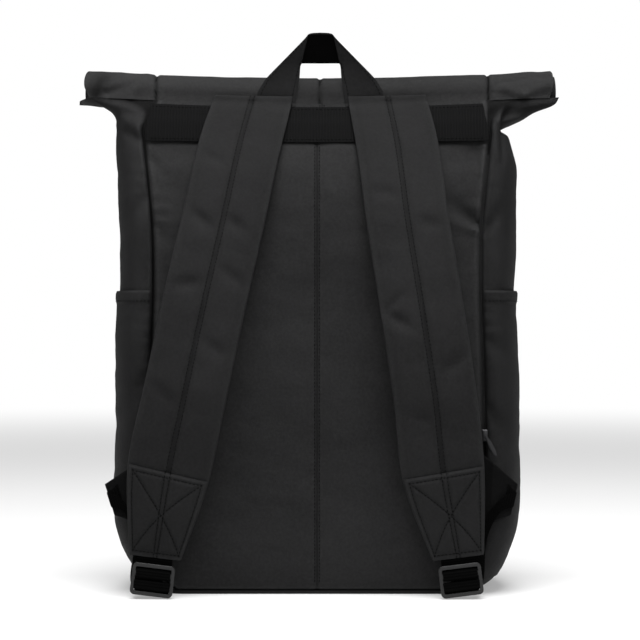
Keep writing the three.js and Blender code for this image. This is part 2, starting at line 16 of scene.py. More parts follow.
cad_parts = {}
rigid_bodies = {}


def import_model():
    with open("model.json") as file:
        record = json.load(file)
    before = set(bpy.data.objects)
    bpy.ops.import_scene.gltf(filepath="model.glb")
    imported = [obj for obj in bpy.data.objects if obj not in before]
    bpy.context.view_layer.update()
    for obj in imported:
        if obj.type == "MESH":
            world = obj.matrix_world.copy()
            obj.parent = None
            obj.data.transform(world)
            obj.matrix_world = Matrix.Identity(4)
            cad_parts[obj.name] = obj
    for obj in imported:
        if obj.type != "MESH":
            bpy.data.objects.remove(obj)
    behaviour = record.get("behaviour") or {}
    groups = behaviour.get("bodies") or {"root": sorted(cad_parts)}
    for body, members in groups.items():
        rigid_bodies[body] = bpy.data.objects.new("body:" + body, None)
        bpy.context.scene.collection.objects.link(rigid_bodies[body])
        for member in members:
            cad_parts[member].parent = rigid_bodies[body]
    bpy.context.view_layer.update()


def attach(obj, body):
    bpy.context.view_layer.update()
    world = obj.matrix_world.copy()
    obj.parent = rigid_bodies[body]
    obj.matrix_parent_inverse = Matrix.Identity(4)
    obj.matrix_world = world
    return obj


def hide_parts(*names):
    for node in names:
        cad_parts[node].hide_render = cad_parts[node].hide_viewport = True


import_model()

LOG = logging.getLogger("backpack")
MM = 0.001
BODY = "root"
UV_NAME = "weave"
# Attribute that lightens the cloth above 0 (rubbed edges, and a painted highlight on the wings' hems) and
# darkens it below 0 (painted shade).
WEAR_AND_PAINTED_LIGHT_NAME = "wear_and_painted_light"
Array = np.ndarray
Piece = bpy.types.Object
Mesh = bpy.types.Mesh
Tree = bpy.types.NodeTree
Socket = bpy.types.NodeSocket


class Side(Enum):
    """The bag's two sides, as seen by someone who looks at the back panel."""

    LEFT = -1
    RIGHT = 1

    @property
    def word(self) -> str:
        """Name used at the end of a piece's or node's name."""
        return self.name.lower()


class Slot(Enum):
    """Material slots of the record."""

    CLOTH = "cloth"
    STRAP = "strap_cloth"
    WEBBING = "webbing"
    PLASTIC = "plastic"
    METAL = "metal"


def hermite(t: Array, start: Array, slope_a: Array, end: Array, slope_b: Array) -> Array:
    """Give the cubic from start to end, with its slope at either."""
    return (
        (2 * t**3 - 3 * t**2 + 1) * start
        + (t**3 - 2 * t**2 + t) * slope_a
        + (3 * t**2 - 2 * t**3) * end
        + (t**3 - t**2) * slope_b
    )


def paired(first: Array | float, second: Array | float) -> tuple[Array, Array]:
    """Give two inputs as arrays of one shape."""
    return np.broadcast_arrays(np.asarray(first, dtype=float), np.asarray(second, dtype=float))


class Profile:
    """A table of rows at stations, read smoothly between them."""

    def __init__(self, names: Sequence[str], rows: Sequence[Sequence[float]]) -> None:
        """Keep the columns by name.

        Args:
            names: Column names after the station's.
            rows: One row for each station, the station first, in rising order.
        """
        table = np.array(rows, dtype=float)
        self.stations = table[:, 0]
        self.columns = {name: table[:, i + 1] for i, name in enumerate(names)}

    def read(self, name: str, station: Array | float) -> Array:
        """Give a column's smooth value.

        Args:
            name: Column name.
            station: One station or an array of them.

        Returns:
            The values, held at the table's ends.
        """
        at, value = self.stations, self.columns[name]
        s = np.clip(np.asarray(station, dtype=float), at[0], at[-1])
        i = np.clip(np.searchsorted(at, s, side="right") - 1, 0, len(at) - 2)
        before, after = np.maximum(i - 1, 0), np.minimum(i + 2, len(at) - 1)
        span = at[i + 1] - at[i]
        t = (s - at[i]) / span
        slope_a = span * (value[i + 1] - value[before]) / (at[i + 1] - at[before])
        slope_b = span * (value[after] - value[i]) / (at[after] - at[i])
        return hermite(t, value[i], slope_a, value[i + 1], slope_b)


def smoothstep(x: Array, low: float, high: float) -> Array:
    """Give the smooth step from 0 at low to 1 at high."""
    t = np.clip((np.asarray(x, dtype=float) - low) / (high - low), 0.0, 1.0)
    return t * t * (3.0 - 2.0 * t)


def bump(distance: Array, reach: float) -> Array:
    """Give a rounded bump, 1 at distance 0 and fading over reach."""
    return np.exp(-((np.asarray(distance, dtype=float) / reach) ** 2))


def mottle(points: Array, size: Sequence[float], seed: float, octaves: int = 3) -> Array:
    """Give smooth random heights at points.

    Args:
        points: Array whose last axis is x, y, z.
        size: Wavelength along each axis, in metres.
        seed: Offset that picks one pattern.
        octaves: Number of finer layers.

    Returns:
        Values of about -1 to 1, one for each point.
    """
    scaled = points.reshape(-1, 3) / np.asarray(size) + seed
    flat = [noise.fractal(Vector(p), 1.0, 2.0, octaves) for p in scaled]
    return np.array(flat).reshape(points.shape[:-1])


@dataclass(frozen=True)
class BagForm:
    """Shape of the filled bag, in metres: its sections from the base to the throat."""

    height: float = 440 * MM
    width: float = 360 * MM
    depth: float = 115 * MM
    panel: float = 300 * MM
    wall: float = 1.5 * MM
    base_thickness: float = 3 * MM
    seam_lap: float = 0.2 * MM
    back_crown: float = 7 * MM
    front_crown: float = 15 * MM
    fullness: float = 10 * MM
    mouth_sag: float = 5 * MM
    mouth_shift: float = 4.5 * MM
    mouth_half: float = 207 * MM
    bend_reach: float = 34 * MM
    bend_left: float = 0.62
    bend_right: float = 0.4
    throat_gap: float = 0.6 * MM
    sections: Profile = Profile(
        ("seam", "outer", "mid", "open", "crown", "full"),
        [
            (0.0, 0.787, 0.822, 0.0, 0.876, 0.0, 0.0), (0.02, 0.87, 0.872, 0.0, 0.935, 0.15, 0.1),
            (0.05, 0.933, 0.922, 0.0, 0.975, 0.45, 0.35), (0.1, 0.975, 0.976, 0.0, 1.0, 0.8, 0.8),
            (0.16, 0.985, 1.004, 0.0, 1.0, 1.0, 1.0), (0.3, 0.987, 1.006, 0.0, 1.0, 1.0, 1.0),
            (0.45, 0.98, 1.0, 0.0, 1.0, 1.0, 1.0), (0.6, 0.966, 0.992, 0.0, 1.0, 1.0, 1.0),
            (0.73, 0.97, 1.0, 0.0, 0.99, 0.95, 0.9), (0.83, 0.997, 1.006, -0.04, 0.887, 0.7, 0.7),
            (0.885, 1.015, 0.997, -0.126, 0.717, 0.5, 0.5),
            (0.93, 1.027, 0.98, -0.255, 0.5, 0.3, 0.25),
            (0.955, 1.015, 0.988, -0.351, 0.348, 0.2, 0.1),
            (0.97, 1.007, 1.03, -0.412, 0.239, 0.12, 0.0),
            (0.985, 1.0, 1.1, -0.495, 0.107, 0.06, 0.0), (1.0, 0.99, 1.15, -0.522, 0.0, 0.0, 0.0),
        ],
    )
    right_flare: Profile = Profile(
        ("reach",),
        [
            (0.86, 0.0), (0.9, -3 * MM), (0.925, -4.5 * MM), (0.938, -8 * MM), (0.948, -3 * MM),
            (0.958, 5 * MM), (0.97, 8 * MM), (0.985, 9 * MM), (1.0, 3 * MM),
        ],
    )
    left_flare: Profile = Profile(
        ("reach",),
        [
            (0.85, 0.0), (0.89, 3.5 * MM), (0.925, 5 * MM), (0.945, 6 * MM), (0.957, 3.5 * MM),
            (0.97, 0.5 * MM), (1.0, 0.0),
        ],
    )
    dents: tuple[tuple[float, ...], ...] = (
        (-0.93, 0.62, 0.16, 0.1, 3 * MM),
        (0.93, 0.73, 0.14, 0.06, 3 * MM),
        (0.0, 0.5, 0.07, 0.6, 1.5 * MM),
        (-0.4, 0.8, 0.3, 0.07, 1.5 * MM),
        (0.45, 0.3, 0.3, 0.1, 1.5 * MM),
    )

    @property
    def throat(self) -> float:
        """Thickness of the mouth where it is pressed flat."""
        return 2 * self.wall + self.throat_gap

    def row(self, name: str, z: Array | float) -> Array:
        """Give a column of the sections at heights."""
        return self.sections.read(name, np.asarray(z) / self.height)

    def seam(self, z: Array | float) -> Array:
        """Give the side seam's distance from the middle."""
        return self.row("seam", z) * self.panel / 2

    def outer(self, z: Array | float) -> Array:
        """Give the gusset's greatest distance from the middle."""
        return self.row("outer", z) * self.width / 2

    def half(self, z: Array | float) -> Array:
        """Give half the bag's depth."""
        return self.throat / 2 + self.row("open", z) * (self.depth - self.throat) / 2

    def mid(self, z: Array | float) -> Array:
        """Give the middle of the section in Y."""
        return self.row("mid", z) * self.depth / 2

    def dent(self, x: Array, z: Array) -> Array:
        """Give the depth of the back's broad dents."""
        depth = np.zeros(np.broadcast(x, z).shape)
        for x0, z0, span_x, span_z, most in self.dents:
            across = (x / (self.panel / 2) - x0) / span_x
            up = (z / self.height - z0) / span_z
            depth += most * np.exp(-(across**2) - up**2)
        return depth

    def back(self, x: Array, z: Array, out: float = 0.0) -> Array:
        """Give points outside the back panel.

        Args:
            x: Distances from the middle.
            z: Heights.
            out: Distance off the panel.

        Returns:
            The points, x, y, z on the last axis.
        """
        x, z = paired(x, z)
        crown = self.row("crown", z)
        swell = self.back_crown * crown * (1 - np.minimum(1, (x / self.seam(z)) ** 2))
        y = self.mid(z) - self.half(z) - swell + self.dent(x, z) * crown - out
        return np.stack([x, y, z], axis=-1)

    def front(self, x: Array, z: Array, out: float = 0.0) -> Array:
        """Give points outside the front panel, as back does for the back."""
        x, z = paired(x, z)
        swell = self.front_crown * self.row("crown", z)
        swell = swell * (1 - np.minimum(1, (x / self.seam(z)) ** 2))
        y = self.mid(z) + self.half(z) + swell + out
        return np.stack([x, y, z], axis=-1)

    def side(self, side: Side, turn: Array, z: Array, out: float = 0.0) -> Array:
        """Give points outside a gusset.

        Args:
            side: Which gusset.
            turn: Angles round it, -pi/2 at the back seam to pi/2 at the front one.
            z: Heights.
            out: Distance off the gusset.

        Returns:
            The points, x, y, z on the last axis.
        """
        turn, z = paired(turn, z)
        seam = self.seam(z)
        flare = self.right_flare if side is Side.RIGHT else self.left_flare
        reach = self.outer(z) - seam + out + flare.read("reach", z / self.height)
        dent = self.dent(side.value * seam, z) * self.row("crown", z) * np.sin(turn) ** 2
        y = self.mid(z) + (self.half(z) + out) * np.sin(turn)
        y = y + self.row("full", z) * self.fullness * np.sin(2 * turn) + dent * (turn < 0)
        x = side.value * (seam - self.seam_lap / 2 + reach * np.cos(turn))
        return np.stack([x, y, z], axis=-1)

    def settle(self, points: Array, cloth: bool = True) -> Array:
        """Lower points near the mouth by its dip, and pull the mouth's cloth to one side.

        Args:
            points: Points, x, y, z on the last axis.
            cloth: Whether they belong to the mouth's own cloth.

        Returns:
            A moved copy.
        """
        moved = points.copy()
        x, z = points[..., 0], points[..., 2]
        rise = smoothstep(z, 0.84 * self.height, self.height)
        moved[..., 2] -= self.mouth_sag * rise * (1 - np.minimum(1, (x / (self.width / 2)) ** 2))
        if cloth:
            top = smoothstep(z, 0.93 * self.height, self.height)
            moved[..., 0] += self.mouth_shift * top
            over = np.maximum(0.0, np.abs(x) - (self.mouth_half - self.bend_reach))
            slope = np.where(x < 0, self.bend_left, self.bend_right)
            turned = slope * over**2 / (2 * self.bend_reach)
            moved[..., 1] -= turned * smoothstep(z, 0.955 * self.height, 0.99 * self.height)
        return moved


FORM = BagForm()


def add_node(tree: Tree, kind: str, **inputs: object) -> bpy.types.Node:
    """Add a node and set or link its inputs.

    Args:
        tree: A material's or a geometry tree.
        kind: Node type.
        **inputs: Input name, with spaces as underscores, to a value or an output socket.

    Returns:
        The node.
    """
    node = tree.nodes.new(kind)
    for key, value in inputs.items():
        join(tree, value, node.inputs[key.replace("_", " ")])
    return node


def join(tree: Tree, value: object, socket: Socket) -> None:
    """Link an output to a socket, or set the socket to a plain value."""
    if isinstance(value, Socket):
        tree.links.new(value, socket)
    else:
        socket.default_value = value


def reckon(tree: Tree, operation: str, *values: object, clamp: bool = False) -> Socket:
    """Add a Math node.

    Args:
        tree: A material's or a geometry tree.
        operation: The node's operation.
        *values: Numbers or output sockets.
        clamp: Whether the result stays from 0 to 1.

    Returns:
        Its output.
    """
    node = tree.nodes.new("ShaderNodeMath")
    node.operation = operation
    node.use_clamp = clamp
    for socket, value in zip(node.inputs, values):
        join(tree, value, socket)
    return node.outputs[0]


def blend_colors(tree: Tree, share: object, first: object, second: object) -> Socket:
    """Mix two colours, given as outputs or as three numbers, by a share."""
    node = tree.nodes.new("ShaderNodeMix")
    node.data_type = "RGBA"
    for socket, value in ((node.inputs[0], share), (node.inputs[6], first), (node.inputs[7], second)):
        join(tree, (*value, 1.0) if isinstance(value, tuple) else value, socket)
    return node.outputs[2]


def ripple(tree: Tree, place: object, pitch: float) -> Socket:
    """Give a sine wave of a pitch, in metres, over a place."""
    return reckon(tree, "SINE", reckon(tree, "MULTIPLY", place, 2 * math.pi / pitch))


def scaled(color: tuple[float, float, float], factor: float) -> tuple[float, float, float]:
    """Give a colour made lighter or darker."""
    return tuple(min(1.0, c * factor) for c in color)


def place_of(tree: Tree) -> Socket:
    """Give the object coordinates."""
    return tree.nodes.new("ShaderNodeTexCoord").outputs["Object"]


def cloth_place(tree: Tree) -> tuple[Socket, Socket]:
    """Give a point's place across and along its own cloth, in metres."""
    uv = tree.nodes.new("ShaderNodeUVMap")
    uv.uv_map = UV_NAME
    split = add_node(tree, "ShaderNodeSeparateXYZ", Vector=uv.outputs["UV"])
    return split.outputs["X"], split.outputs["Y"]


def noise_at(tree: Tree, scale: float, detail: float) -> Socket:
    """Give a noise on object coordinates, from 0 to 1."""
    node = add_node(tree, "ShaderNodeTexNoise", Vector=place_of(tree), Scale=scale, Detail=detail)
    return node.outputs["Fac"]


@dataclass(frozen=True)
class Finish:
    """Base of every finish: a named material built from nodes."""

    name: str
    color: tuple[float, float, float]
    roughness: float

    def build(self) -> bpy.types.Material:
        """Make the material, or give the one made before."""
        made = bpy.data.materials.get(self.name)
        if made:
            return made
        material = bpy.data.materials.new(self.name)
        material.use_nodes = True
        shader = material.node_tree.nodes["Principled BSDF"]
        shader.inputs["Base Color"].default_value = (*self.color, 1.0)
        shader.inputs["Roughness"].default_value = self.roughness
        self.dress(material.node_tree, shader)
        return material

    def dress(self, tree: Tree, shader: bpy.types.Node) -> None:
        """Add this finish's own nodes; a plain finish has none."""

    def raise_relief(
        self,
        tree: Tree,
        shader: bpy.types.Node,
        layers: Sequence[tuple[Socket, float, float]],
    ) -> None:
        """Stack bumps on the shader's normal.

        Args:
            tree: The material's tree.
            shader: Its shader.
            layers: Height, distance and strength of each bump, the broadest first.
        """
        below = None
        for height, distance, strength in layers:
            bumped = add_node(
                tree, "ShaderNodeBump", Height=height, Distance=distance, Strength=strength
            )
            if below is not None:
                tree.links.new(below, bumped.inputs["Normal"])
            below = bumped.outputs["Normal"]
        tree.links.new(below, shader.inputs["Normal"])


@dataclass(frozen=True)
class ClothFinish(Finish):
    """Coated plain-weave cloth: fine weave, mottling, rubbed edges, a painted highlight on hems and
    painted shade in crevices.

    The attribute is above 0 where the cloth is rubbed or a highlight is painted, and below 0 where shade
    is painted in a seam, a crevice or a fold.
    """

    thread: float = 0.62 * MM
    weave_depth: float = 0.1 * MM
    grain: float = 0.22 * MM
    spread: float = 0.36
    worn: float = 2.2
    specular: float = 0.09
    crumple: float = 0.6 * MM

    def dress(self, tree: Tree, shader: bpy.types.Node) -> None:
        """Add the weave, mottling, rubbed edges, painted highlight and shade, and crumple."""
        op = partial(reckon, tree)
        shader.inputs["Specular IOR Level"].default_value = self.specular
        across, along = cloth_place(tree)
        warp, weft = (ripple(tree, place, self.thread) for place in (across, along))
        weave = op("MULTIPLY", warp, weft)
        fine = noise_at(tree, 420.0, 3.0)
        mixed = op("MULTIPLY_ADD", fine, 1.0, noise_at(tree, 9.0, 5.0))
        level = op("MULTIPLY_ADD", mixed, 1.6, -1.1, clamp=True)
        low, high = scaled(self.color, 1 - self.spread), scaled(self.color, 1 + self.spread)
        tone = blend_colors(tree, level, low, high)
        wear_and_painted_light = tree.nodes.new("ShaderNodeAttribute")
        wear_and_painted_light.attribute_name = WEAR_AND_PAINTED_LIGHT_NAME
        # Above 0 the attribute lightens the cloth: rubbed edges, and on the wings' hems a painted
        # highlight.
        rub = op("MULTIPLY", wear_and_painted_light.outputs["Fac"], fine, clamp=True)
        worn = blend_colors(tree, rub, tone, scaled(self.color, self.worn))
        # Painted shade: below 0 the attribute darkens the cloth towards 8% of its colour, in seams,
        # crevices and fold hollows.
        painted_shade = op("MULTIPLY", wear_and_painted_light.outputs["Fac"], -1.0, clamp=True)
        final = blend_colors(tree, painted_shade, worn, scaled(self.color, 0.08))
        tree.links.new(final, shader.inputs["Base Color"])
        rough = op("MULTIPLY_ADD", fine, 0.16, self.roughness - 0.08)
        tree.links.new(rough, shader.inputs["Roughness"])
        crumple = noise_at(tree, 42.0, 4.0)
        layers = [(crumple, self.crumple, 0.8), (fine, self.grain, 0.7)]
        layers.append((weave, self.weave_depth, 0.7))
        self.raise_relief(tree, shader, layers)


@dataclass(frozen=True)
class WebbingFinish(Finish):
    """Ribbed webbing: a rib every pitch along its length, with slanted yarns on each."""

    pitch: float = 2.6 * MM
    yarn: float = 0.7 * MM
    rib_depth: float = 0.2 * MM
    specular: float = 0.05
    contrast: float = 0.5

    def dress(self, tree: Tree, shader: bpy.types.Node) -> None:
        """Add ribs, yarns and their shading."""
        op = partial(reckon, tree)
        shader.inputs["Specular IOR Level"].default_value = self.specular
        across, along = cloth_place(tree)
        rib = ripple(tree, along, self.pitch)
        yarn = ripple(tree, op("ADD", across, along), self.yarn)
        relief = op("MULTIPLY_ADD", yarn, 0.22, rib)
        level = op("MULTIPLY_ADD", relief, 0.4, 0.5, clamp=True)
        low, high = scaled(self.color, 1 - self.contrast), scaled(self.color, 1 + self.contrast)
        tone = blend_colors(tree, level, low, high)
        tree.links.new(tone, shader.inputs["Base Color"])
        fuzz = noise_at(tree, 900.0, 2.0)
        rough = op("MULTIPLY_ADD", fuzz, 0.2, self.roughness - 0.1)
        tree.links.new(rough, shader.inputs["Roughness"])
        self.raise_relief(tree, shader, [(relief, self.rib_depth, 0.7)])


@dataclass(frozen=True)
class MouldedFinish(Finish):
    """Moulded or cast finish: a fine grain with brighter, smoother rubbed spots."""

    metallic: float = 0.0
    grain: float = 0.04 * MM
    grain_scale: float = 1500.0
    rub: float = 1.35
    specular: float = 0.4

    def dress(self, tree: Tree, shader: bpy.types.Node) -> None:
        """Add grain, rubbed spots and their gloss."""
        op = partial(reckon, tree)
        shader.inputs["Metallic"].default_value = self.metallic
        shader.inputs["Specular IOR Level"].default_value = self.specular
        spots = noise_at(tree, 160.0, 4.0)
        level = op("MULTIPLY_ADD", spots, 4.0, -2.0, clamp=True)
        tone = blend_colors(tree, level, self.color, scaled(self.color, self.rub))
        tree.links.new(tone, shader.inputs["Base Color"])
        rough = op("MULTIPLY_ADD", spots, -0.2, self.roughness + 0.1)
        tree.links.new(rough, shader.inputs["Roughness"])
        grain = noise_at(tree, self.grain_scale, 2.0)
        self.raise_relief(tree, shader, [(grain, self.grain, 0.4)])


@dataclass(frozen=True)
class FloorFinish(Finish):
    """Matt floor that fades into the white surroundings far from the bag."""

    near: float = 1.3
    far: float = 4.0
    glow: float = 0.3

    def dress(self, tree: Tree, shader: bpy.types.Node) -> None:
        """Mix in plain white by the distance from the middle."""
        shader.inputs["Specular IOR Level"].default_value = 0.1
        flat = add_node(tree, "ShaderNodeVectorMath", Vector=place_of(tree))
        flat.operation = "LENGTH"
        share = add_node(tree, "ShaderNodeMapRange", Value=flat.outputs["Value"])
        share.interpolation_type = "SMOOTHSTEP"
        share.inputs["From Min"].default_value = self.near
        share.inputs["From Max"].default_value = self.far
        share.inputs["To Min"].default_value = self.glow
        white = add_node(tree, "ShaderNodeEmission", Color=(1.0, 1.0, 1.0, 1.0), Strength=1.0)
        faded = tree.nodes.new("ShaderNodeMixShader")
        tree.links.new(share.outputs["Result"], faded.inputs[0])
        tree.links.new(shader.outputs[0], faded.inputs[1])
        tree.links.new(white.outputs[0], faded.inputs[2])
        tree.links.new(faded.outputs[0], tree.nodes["Material Output"].inputs["Surface"])


PANEL_CLOTH = ClothFinish("black_coated_cloth", (0.0116, 0.0116, 0.0118), 0.66)
# A lighter copy of the bag's cloth for the roll: painted light on its top.
ROLL_CLOTH_LIT = ClothFinish("black_mouth_cloth_painted_light", (0.0128, 0.0128, 0.013), 0.64)
# A darker copy of the bag's cloth for the gussets and their pockets: painted shade.
GUSSET_CLOTH_SHADED = ClothFinish("black_gusset_cloth_painted_shade", (0.0086, 0.0086, 0.0088), 0.68)
STRAP_CLOTH = ClothFinish("black_strap_cloth", (0.0086, 0.0086, 0.0088), 0.7, crumple=1.0 * MM)
HANDLE_CLOTH = ClothFinish("black_handle_tape", (0.0074, 0.0074, 0.0076), 0.72, thread=0.9 * MM)
# A darker copy of the bag's cloth for the wings: painted shade of the shaded wings.
WING_CLOTH_SHADED = ClothFinish("black_wing_cloth_painted_shade", (0.0034, 0.0034, 0.0035), 0.8, specular=0.05)
# Near-black grip finish: the tape's dark underside, made darker as painted shade of the grip that faces
# down.
TAPE_UNDERSIDE_SHADED = ClothFinish("black_tape_underside_and_painted_shade", (0.0008, 0.0008, 0.0008), 0.85, specular=0.02)
# Black thread darker than the cloth: its own colour, with painted shade of the stitch holes.
THREAD_SHADED = ClothFinish("black_thread_and_painted_hole_shade", (0.0012, 0.0012, 0.0012), 0.7, thread=0.25 * MM, specular=0.05)
WEBBING = WebbingFinish("black_webbing", (0.0012, 0.0012, 0.0012), 0.85, specular=0.02)
BAND_WEBBING = WebbingFinish("black_band_webbing", (0.0026, 0.0026, 0.0027), 0.8, contrast=0.2)
PLASTIC = MouldedFinish("satin_plastic", (0.0078, 0.0078, 0.008), 0.46, specular=0.3)
DARK_TEETH = MouldedFinish("dark_zip_teeth", (0.004, 0.004, 0.004), 0.5, specular=0.2)
NICKEL = MouldedFinish("dark_nickel", (0.03, 0.03, 0.031), 0.48, metallic=1.0, grain_scale=900.0)
FLOOR = FloorFinish("pale_floor", (0.72, 0.72, 0.72), 0.9)


@dataclass(frozen=True)
class Fold:
    """A fold of the cloth: a valley, or a ridge where its depth is negative, with painted shade on its
    floor where given.
    """

    start: tuple[float, float]
    end: tuple[float, float]
    depth: tuple[float, float]
    width: tuple[float, float]
    shade: float = 0.0

    def dark(self, x: Array, z: Array) -> Array:
        """Give the painted shade on the fold's floor at points."""
        return self.shade * self.read(x, z) / max(self.depth)

    def read(self, x: Array, z: Array) -> Array:
        """Give how far the fold goes in at points, seen from the back."""
        line = np.array(self.end) - np.array(self.start)
        length = float(np.hypot(*line))
        right, up = x - self.start[0], z - self.start[1]
        share = (right * line[0] + up * line[1]) / length**2
        off = (right * line[1] - up * line[0]) / length
        held = np.clip(share, 0, 1)
        depth = self.depth[0] + (self.depth[1] - self.depth[0]) * held
        width = self.width[0] + (self.width[1] - self.width[0]) * held
        beyond = (share - held) * length
        return depth * np.exp(-((off / width) ** 2) - (beyond / width) ** 2)


def eased(count: int, ease: float = 0.6) -> Array:
    """Give shares from 0 to 1 that lie closer together towards both ends."""
    even = np.linspace(0, 1, count + 1)
    return (1 - ease) * even + ease * (0.5 - 0.5 * np.cos(np.pi * even))


@dataclass(frozen=True)
class Slab:
    """A closed sheet between two faces of points, with its cloth map, its rubbing and its painted light
    and shade.
    """

    near: Array
    far: Array
    wear_and_painted_light: Array | None = None
    turned: bool = False

    def cloth_map(self) -> Array:
        """Give each point's place on the flat cloth, in metres: across and along."""
        across = np.zeros(self.near.shape[:2])
        along = np.zeros(self.near.shape[:2])
        across[:, 1:] = np.cumsum(np.linalg.norm(np.diff(self.near, axis=1), axis=-1), axis=1)
        along[1:, :] = np.cumsum(np.linalg.norm(np.diff(self.near, axis=0), axis=-1), axis=0)
        across -= across[:, across.shape[1] // 2][:, None]
        along = np.broadcast_to(along.mean(1)[:, None], across.shape)
        return np.stack([along, across] if self.turned else [across, along], -1)

    def mesh(self, name: str) -> Mesh:
        """Make the closed mesh, its faces pointing out."""
        rows, columns = self.near.shape[:2]
        count = rows * columns
        ids = np.arange(count).reshape(rows, columns)
        a, b, c, d = ids[:-1, :-1], ids[1:, :-1], ids[1:, 1:], ids[:-1, 1:]
        quads = [np.stack([a, b, c, d], -1).reshape(-1, 4)]
        quads.append(np.stack([a, d, c, b], -1).reshape(-1, 4) + count)
        rim = np.concatenate([ids[0, :-1], ids[:-1, -1], ids[-1, :0:-1], ids[:0:-1, 0]])
        after = np.roll(rim, -1)
        quads.append(np.stack([rim, after, after + count, rim + count], -1))
        faces = np.concatenate(quads)
        points = np.concatenate([self.near.reshape(-1, 3), self.far.reshape(-1, 3)])
        p = points[faces]
        volume = np.einsum("ij,ij->i", p[:, 0], np.cross(p[:, 1], p[:, 2])).sum()
        volume += np.einsum("ij,ij->i", p[:, 0], np.cross(p[:, 2], p[:, 3])).sum()
        if volume < 0:
            faces = faces[:, ::-1]
        mesh = bpy.data.meshes.new(name)
        mesh.from_pydata(points.tolist(), [], faces.tolist())
        flat = np.concatenate([self.cloth_map().reshape(-1, 2)] * 2)
        layer = mesh.uv_layers.new(name=UV_NAME)
        layer.data.foreach_set("uv", flat[faces.reshape(-1)].reshape(-1))
        wear_and_painted_light = np.zeros((rows, columns)) if self.wear_and_painted_light is None else self.wear_and_painted_light
        wear_and_painted_light = np.broadcast_to(wear_and_painted_light, (rows, columns)).reshape(-1)
        attribute = mesh.attributes.new(WEAR_AND_PAINTED_LIGHT_NAME, "FLOAT", "POINT")
        attribute.data.foreach_set("value", np.concatenate([wear_and_painted_light] * 2))
        return mesh

    def build(self, name: str, finish: Finish, smooth: float = 50.0) -> Piece:
        """Make the object."""
        return add_object(name, self.mesh(name), finish, smooth)


def linked(name: str, data: bpy.types.ID) -> Piece:
    """Make an object from data and link it to the scene."""
    made = bpy.data.objects.new(name, data)
    bpy.context.scene.collection.objects.link(made)
    return made


def add_object(name: str, mesh: Mesh, finish: Finish, smooth: float = 50.0) -> Piece:
    """Link a mesh to the scene with its finish and smooth shading."""
    mesh.shade_smooth()
    mesh.set_sharp_from_angle(angle=math.radians(smooth))
    mesh.materials.clear()
    mesh.materials.append(finish.build())
    return linked(name, mesh)


def keep(piece: Piece, slot: Slot, *nodes: str) -> Piece:
    """Attach a finished piece to its body, hide the nodes that it stands for and log its faces.

    Args:
        piece: The finished object.
        slot: Its material slot; not used.
        *nodes: CAD nodes that it replaces.

    Returns:
        The piece.
    """
    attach(piece, BODY)
    if nodes:
        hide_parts(*nodes)
    faces = len(piece.data.polygons)
    LOG.info("%s: %d faces, for %s", piece.name, faces, ", ".join(nodes) or "no node")
    return piece


def evaluated_mesh(piece: Piece) -> Mesh:
    """Give a piece's mesh as its modifiers make it."""
    graph = bpy.context.evaluated_depsgraph_get()
    return bpy.data.meshes.new_from_object(piece.evaluated_get(graph))


def settled(piece: Piece) -> None:
    """Replace a piece's mesh by what its modifiers make, and remove them."""
    mesh = evaluated_mesh(piece)
    piece.modifiers.clear()
    piece.data = mesh


def subdivide(piece: Piece, levels: int = 1) -> None:
    """Smooth a piece with a subdivision surface and settle it."""
    modifier = piece.modifiers.new("Smooth", "SUBSURF")
    modifier.levels = modifier.render_levels = levels
    settled(piece)


def points_of(mesh: Mesh) -> Array:
    """Give a mesh's points."""
    flat = np.empty(3 * len(mesh.vertices))
    mesh.vertices.foreach_get("co", flat)
    return flat.reshape(-1, 3)


def set_points(mesh: Mesh, points: Array) -> None:
    """Move a mesh's points."""
    mesh.vertices.foreach_set("co", points.reshape(-1))
    mesh.update()


def as_rows(*paths: Array) -> list[list[Vector]]:
    """Give paths of points as rows for stitches."""
    return [[Vector(point) for point in path] for path in paths]


def lay_on(piece: Piece, path: Array, lift: float = 0.1 * MM) -> list[list[Vector]]:
    """Lay a path on a piece, pressed on it from the back view.

    Args:
        piece: What it lies on.
        path: Points of the path, in front of the surface.
        lift: Distance kept off the surface.

    Returns:
        The stretches of path that meet the surface.
    """
    corners = [tuple(v.co) for v in piece.data.vertices]
    tree = BVHTree.FromPolygons(corners, [tuple(p.vertices) for p in piece.data.polygons])
    direction = Vector((0, 1, 0))
    runs: list[list[Vector]] = [[]]
    for point in path:
        hit = tree.ray_cast(Vector(point) - direction * 60 * MM, direction)[0]
        if hit is not None:
            runs[-1].append(hit - direction * lift)
        elif runs[-1]:
            runs.append([])
    return [run for run in runs if len(run) > 1]


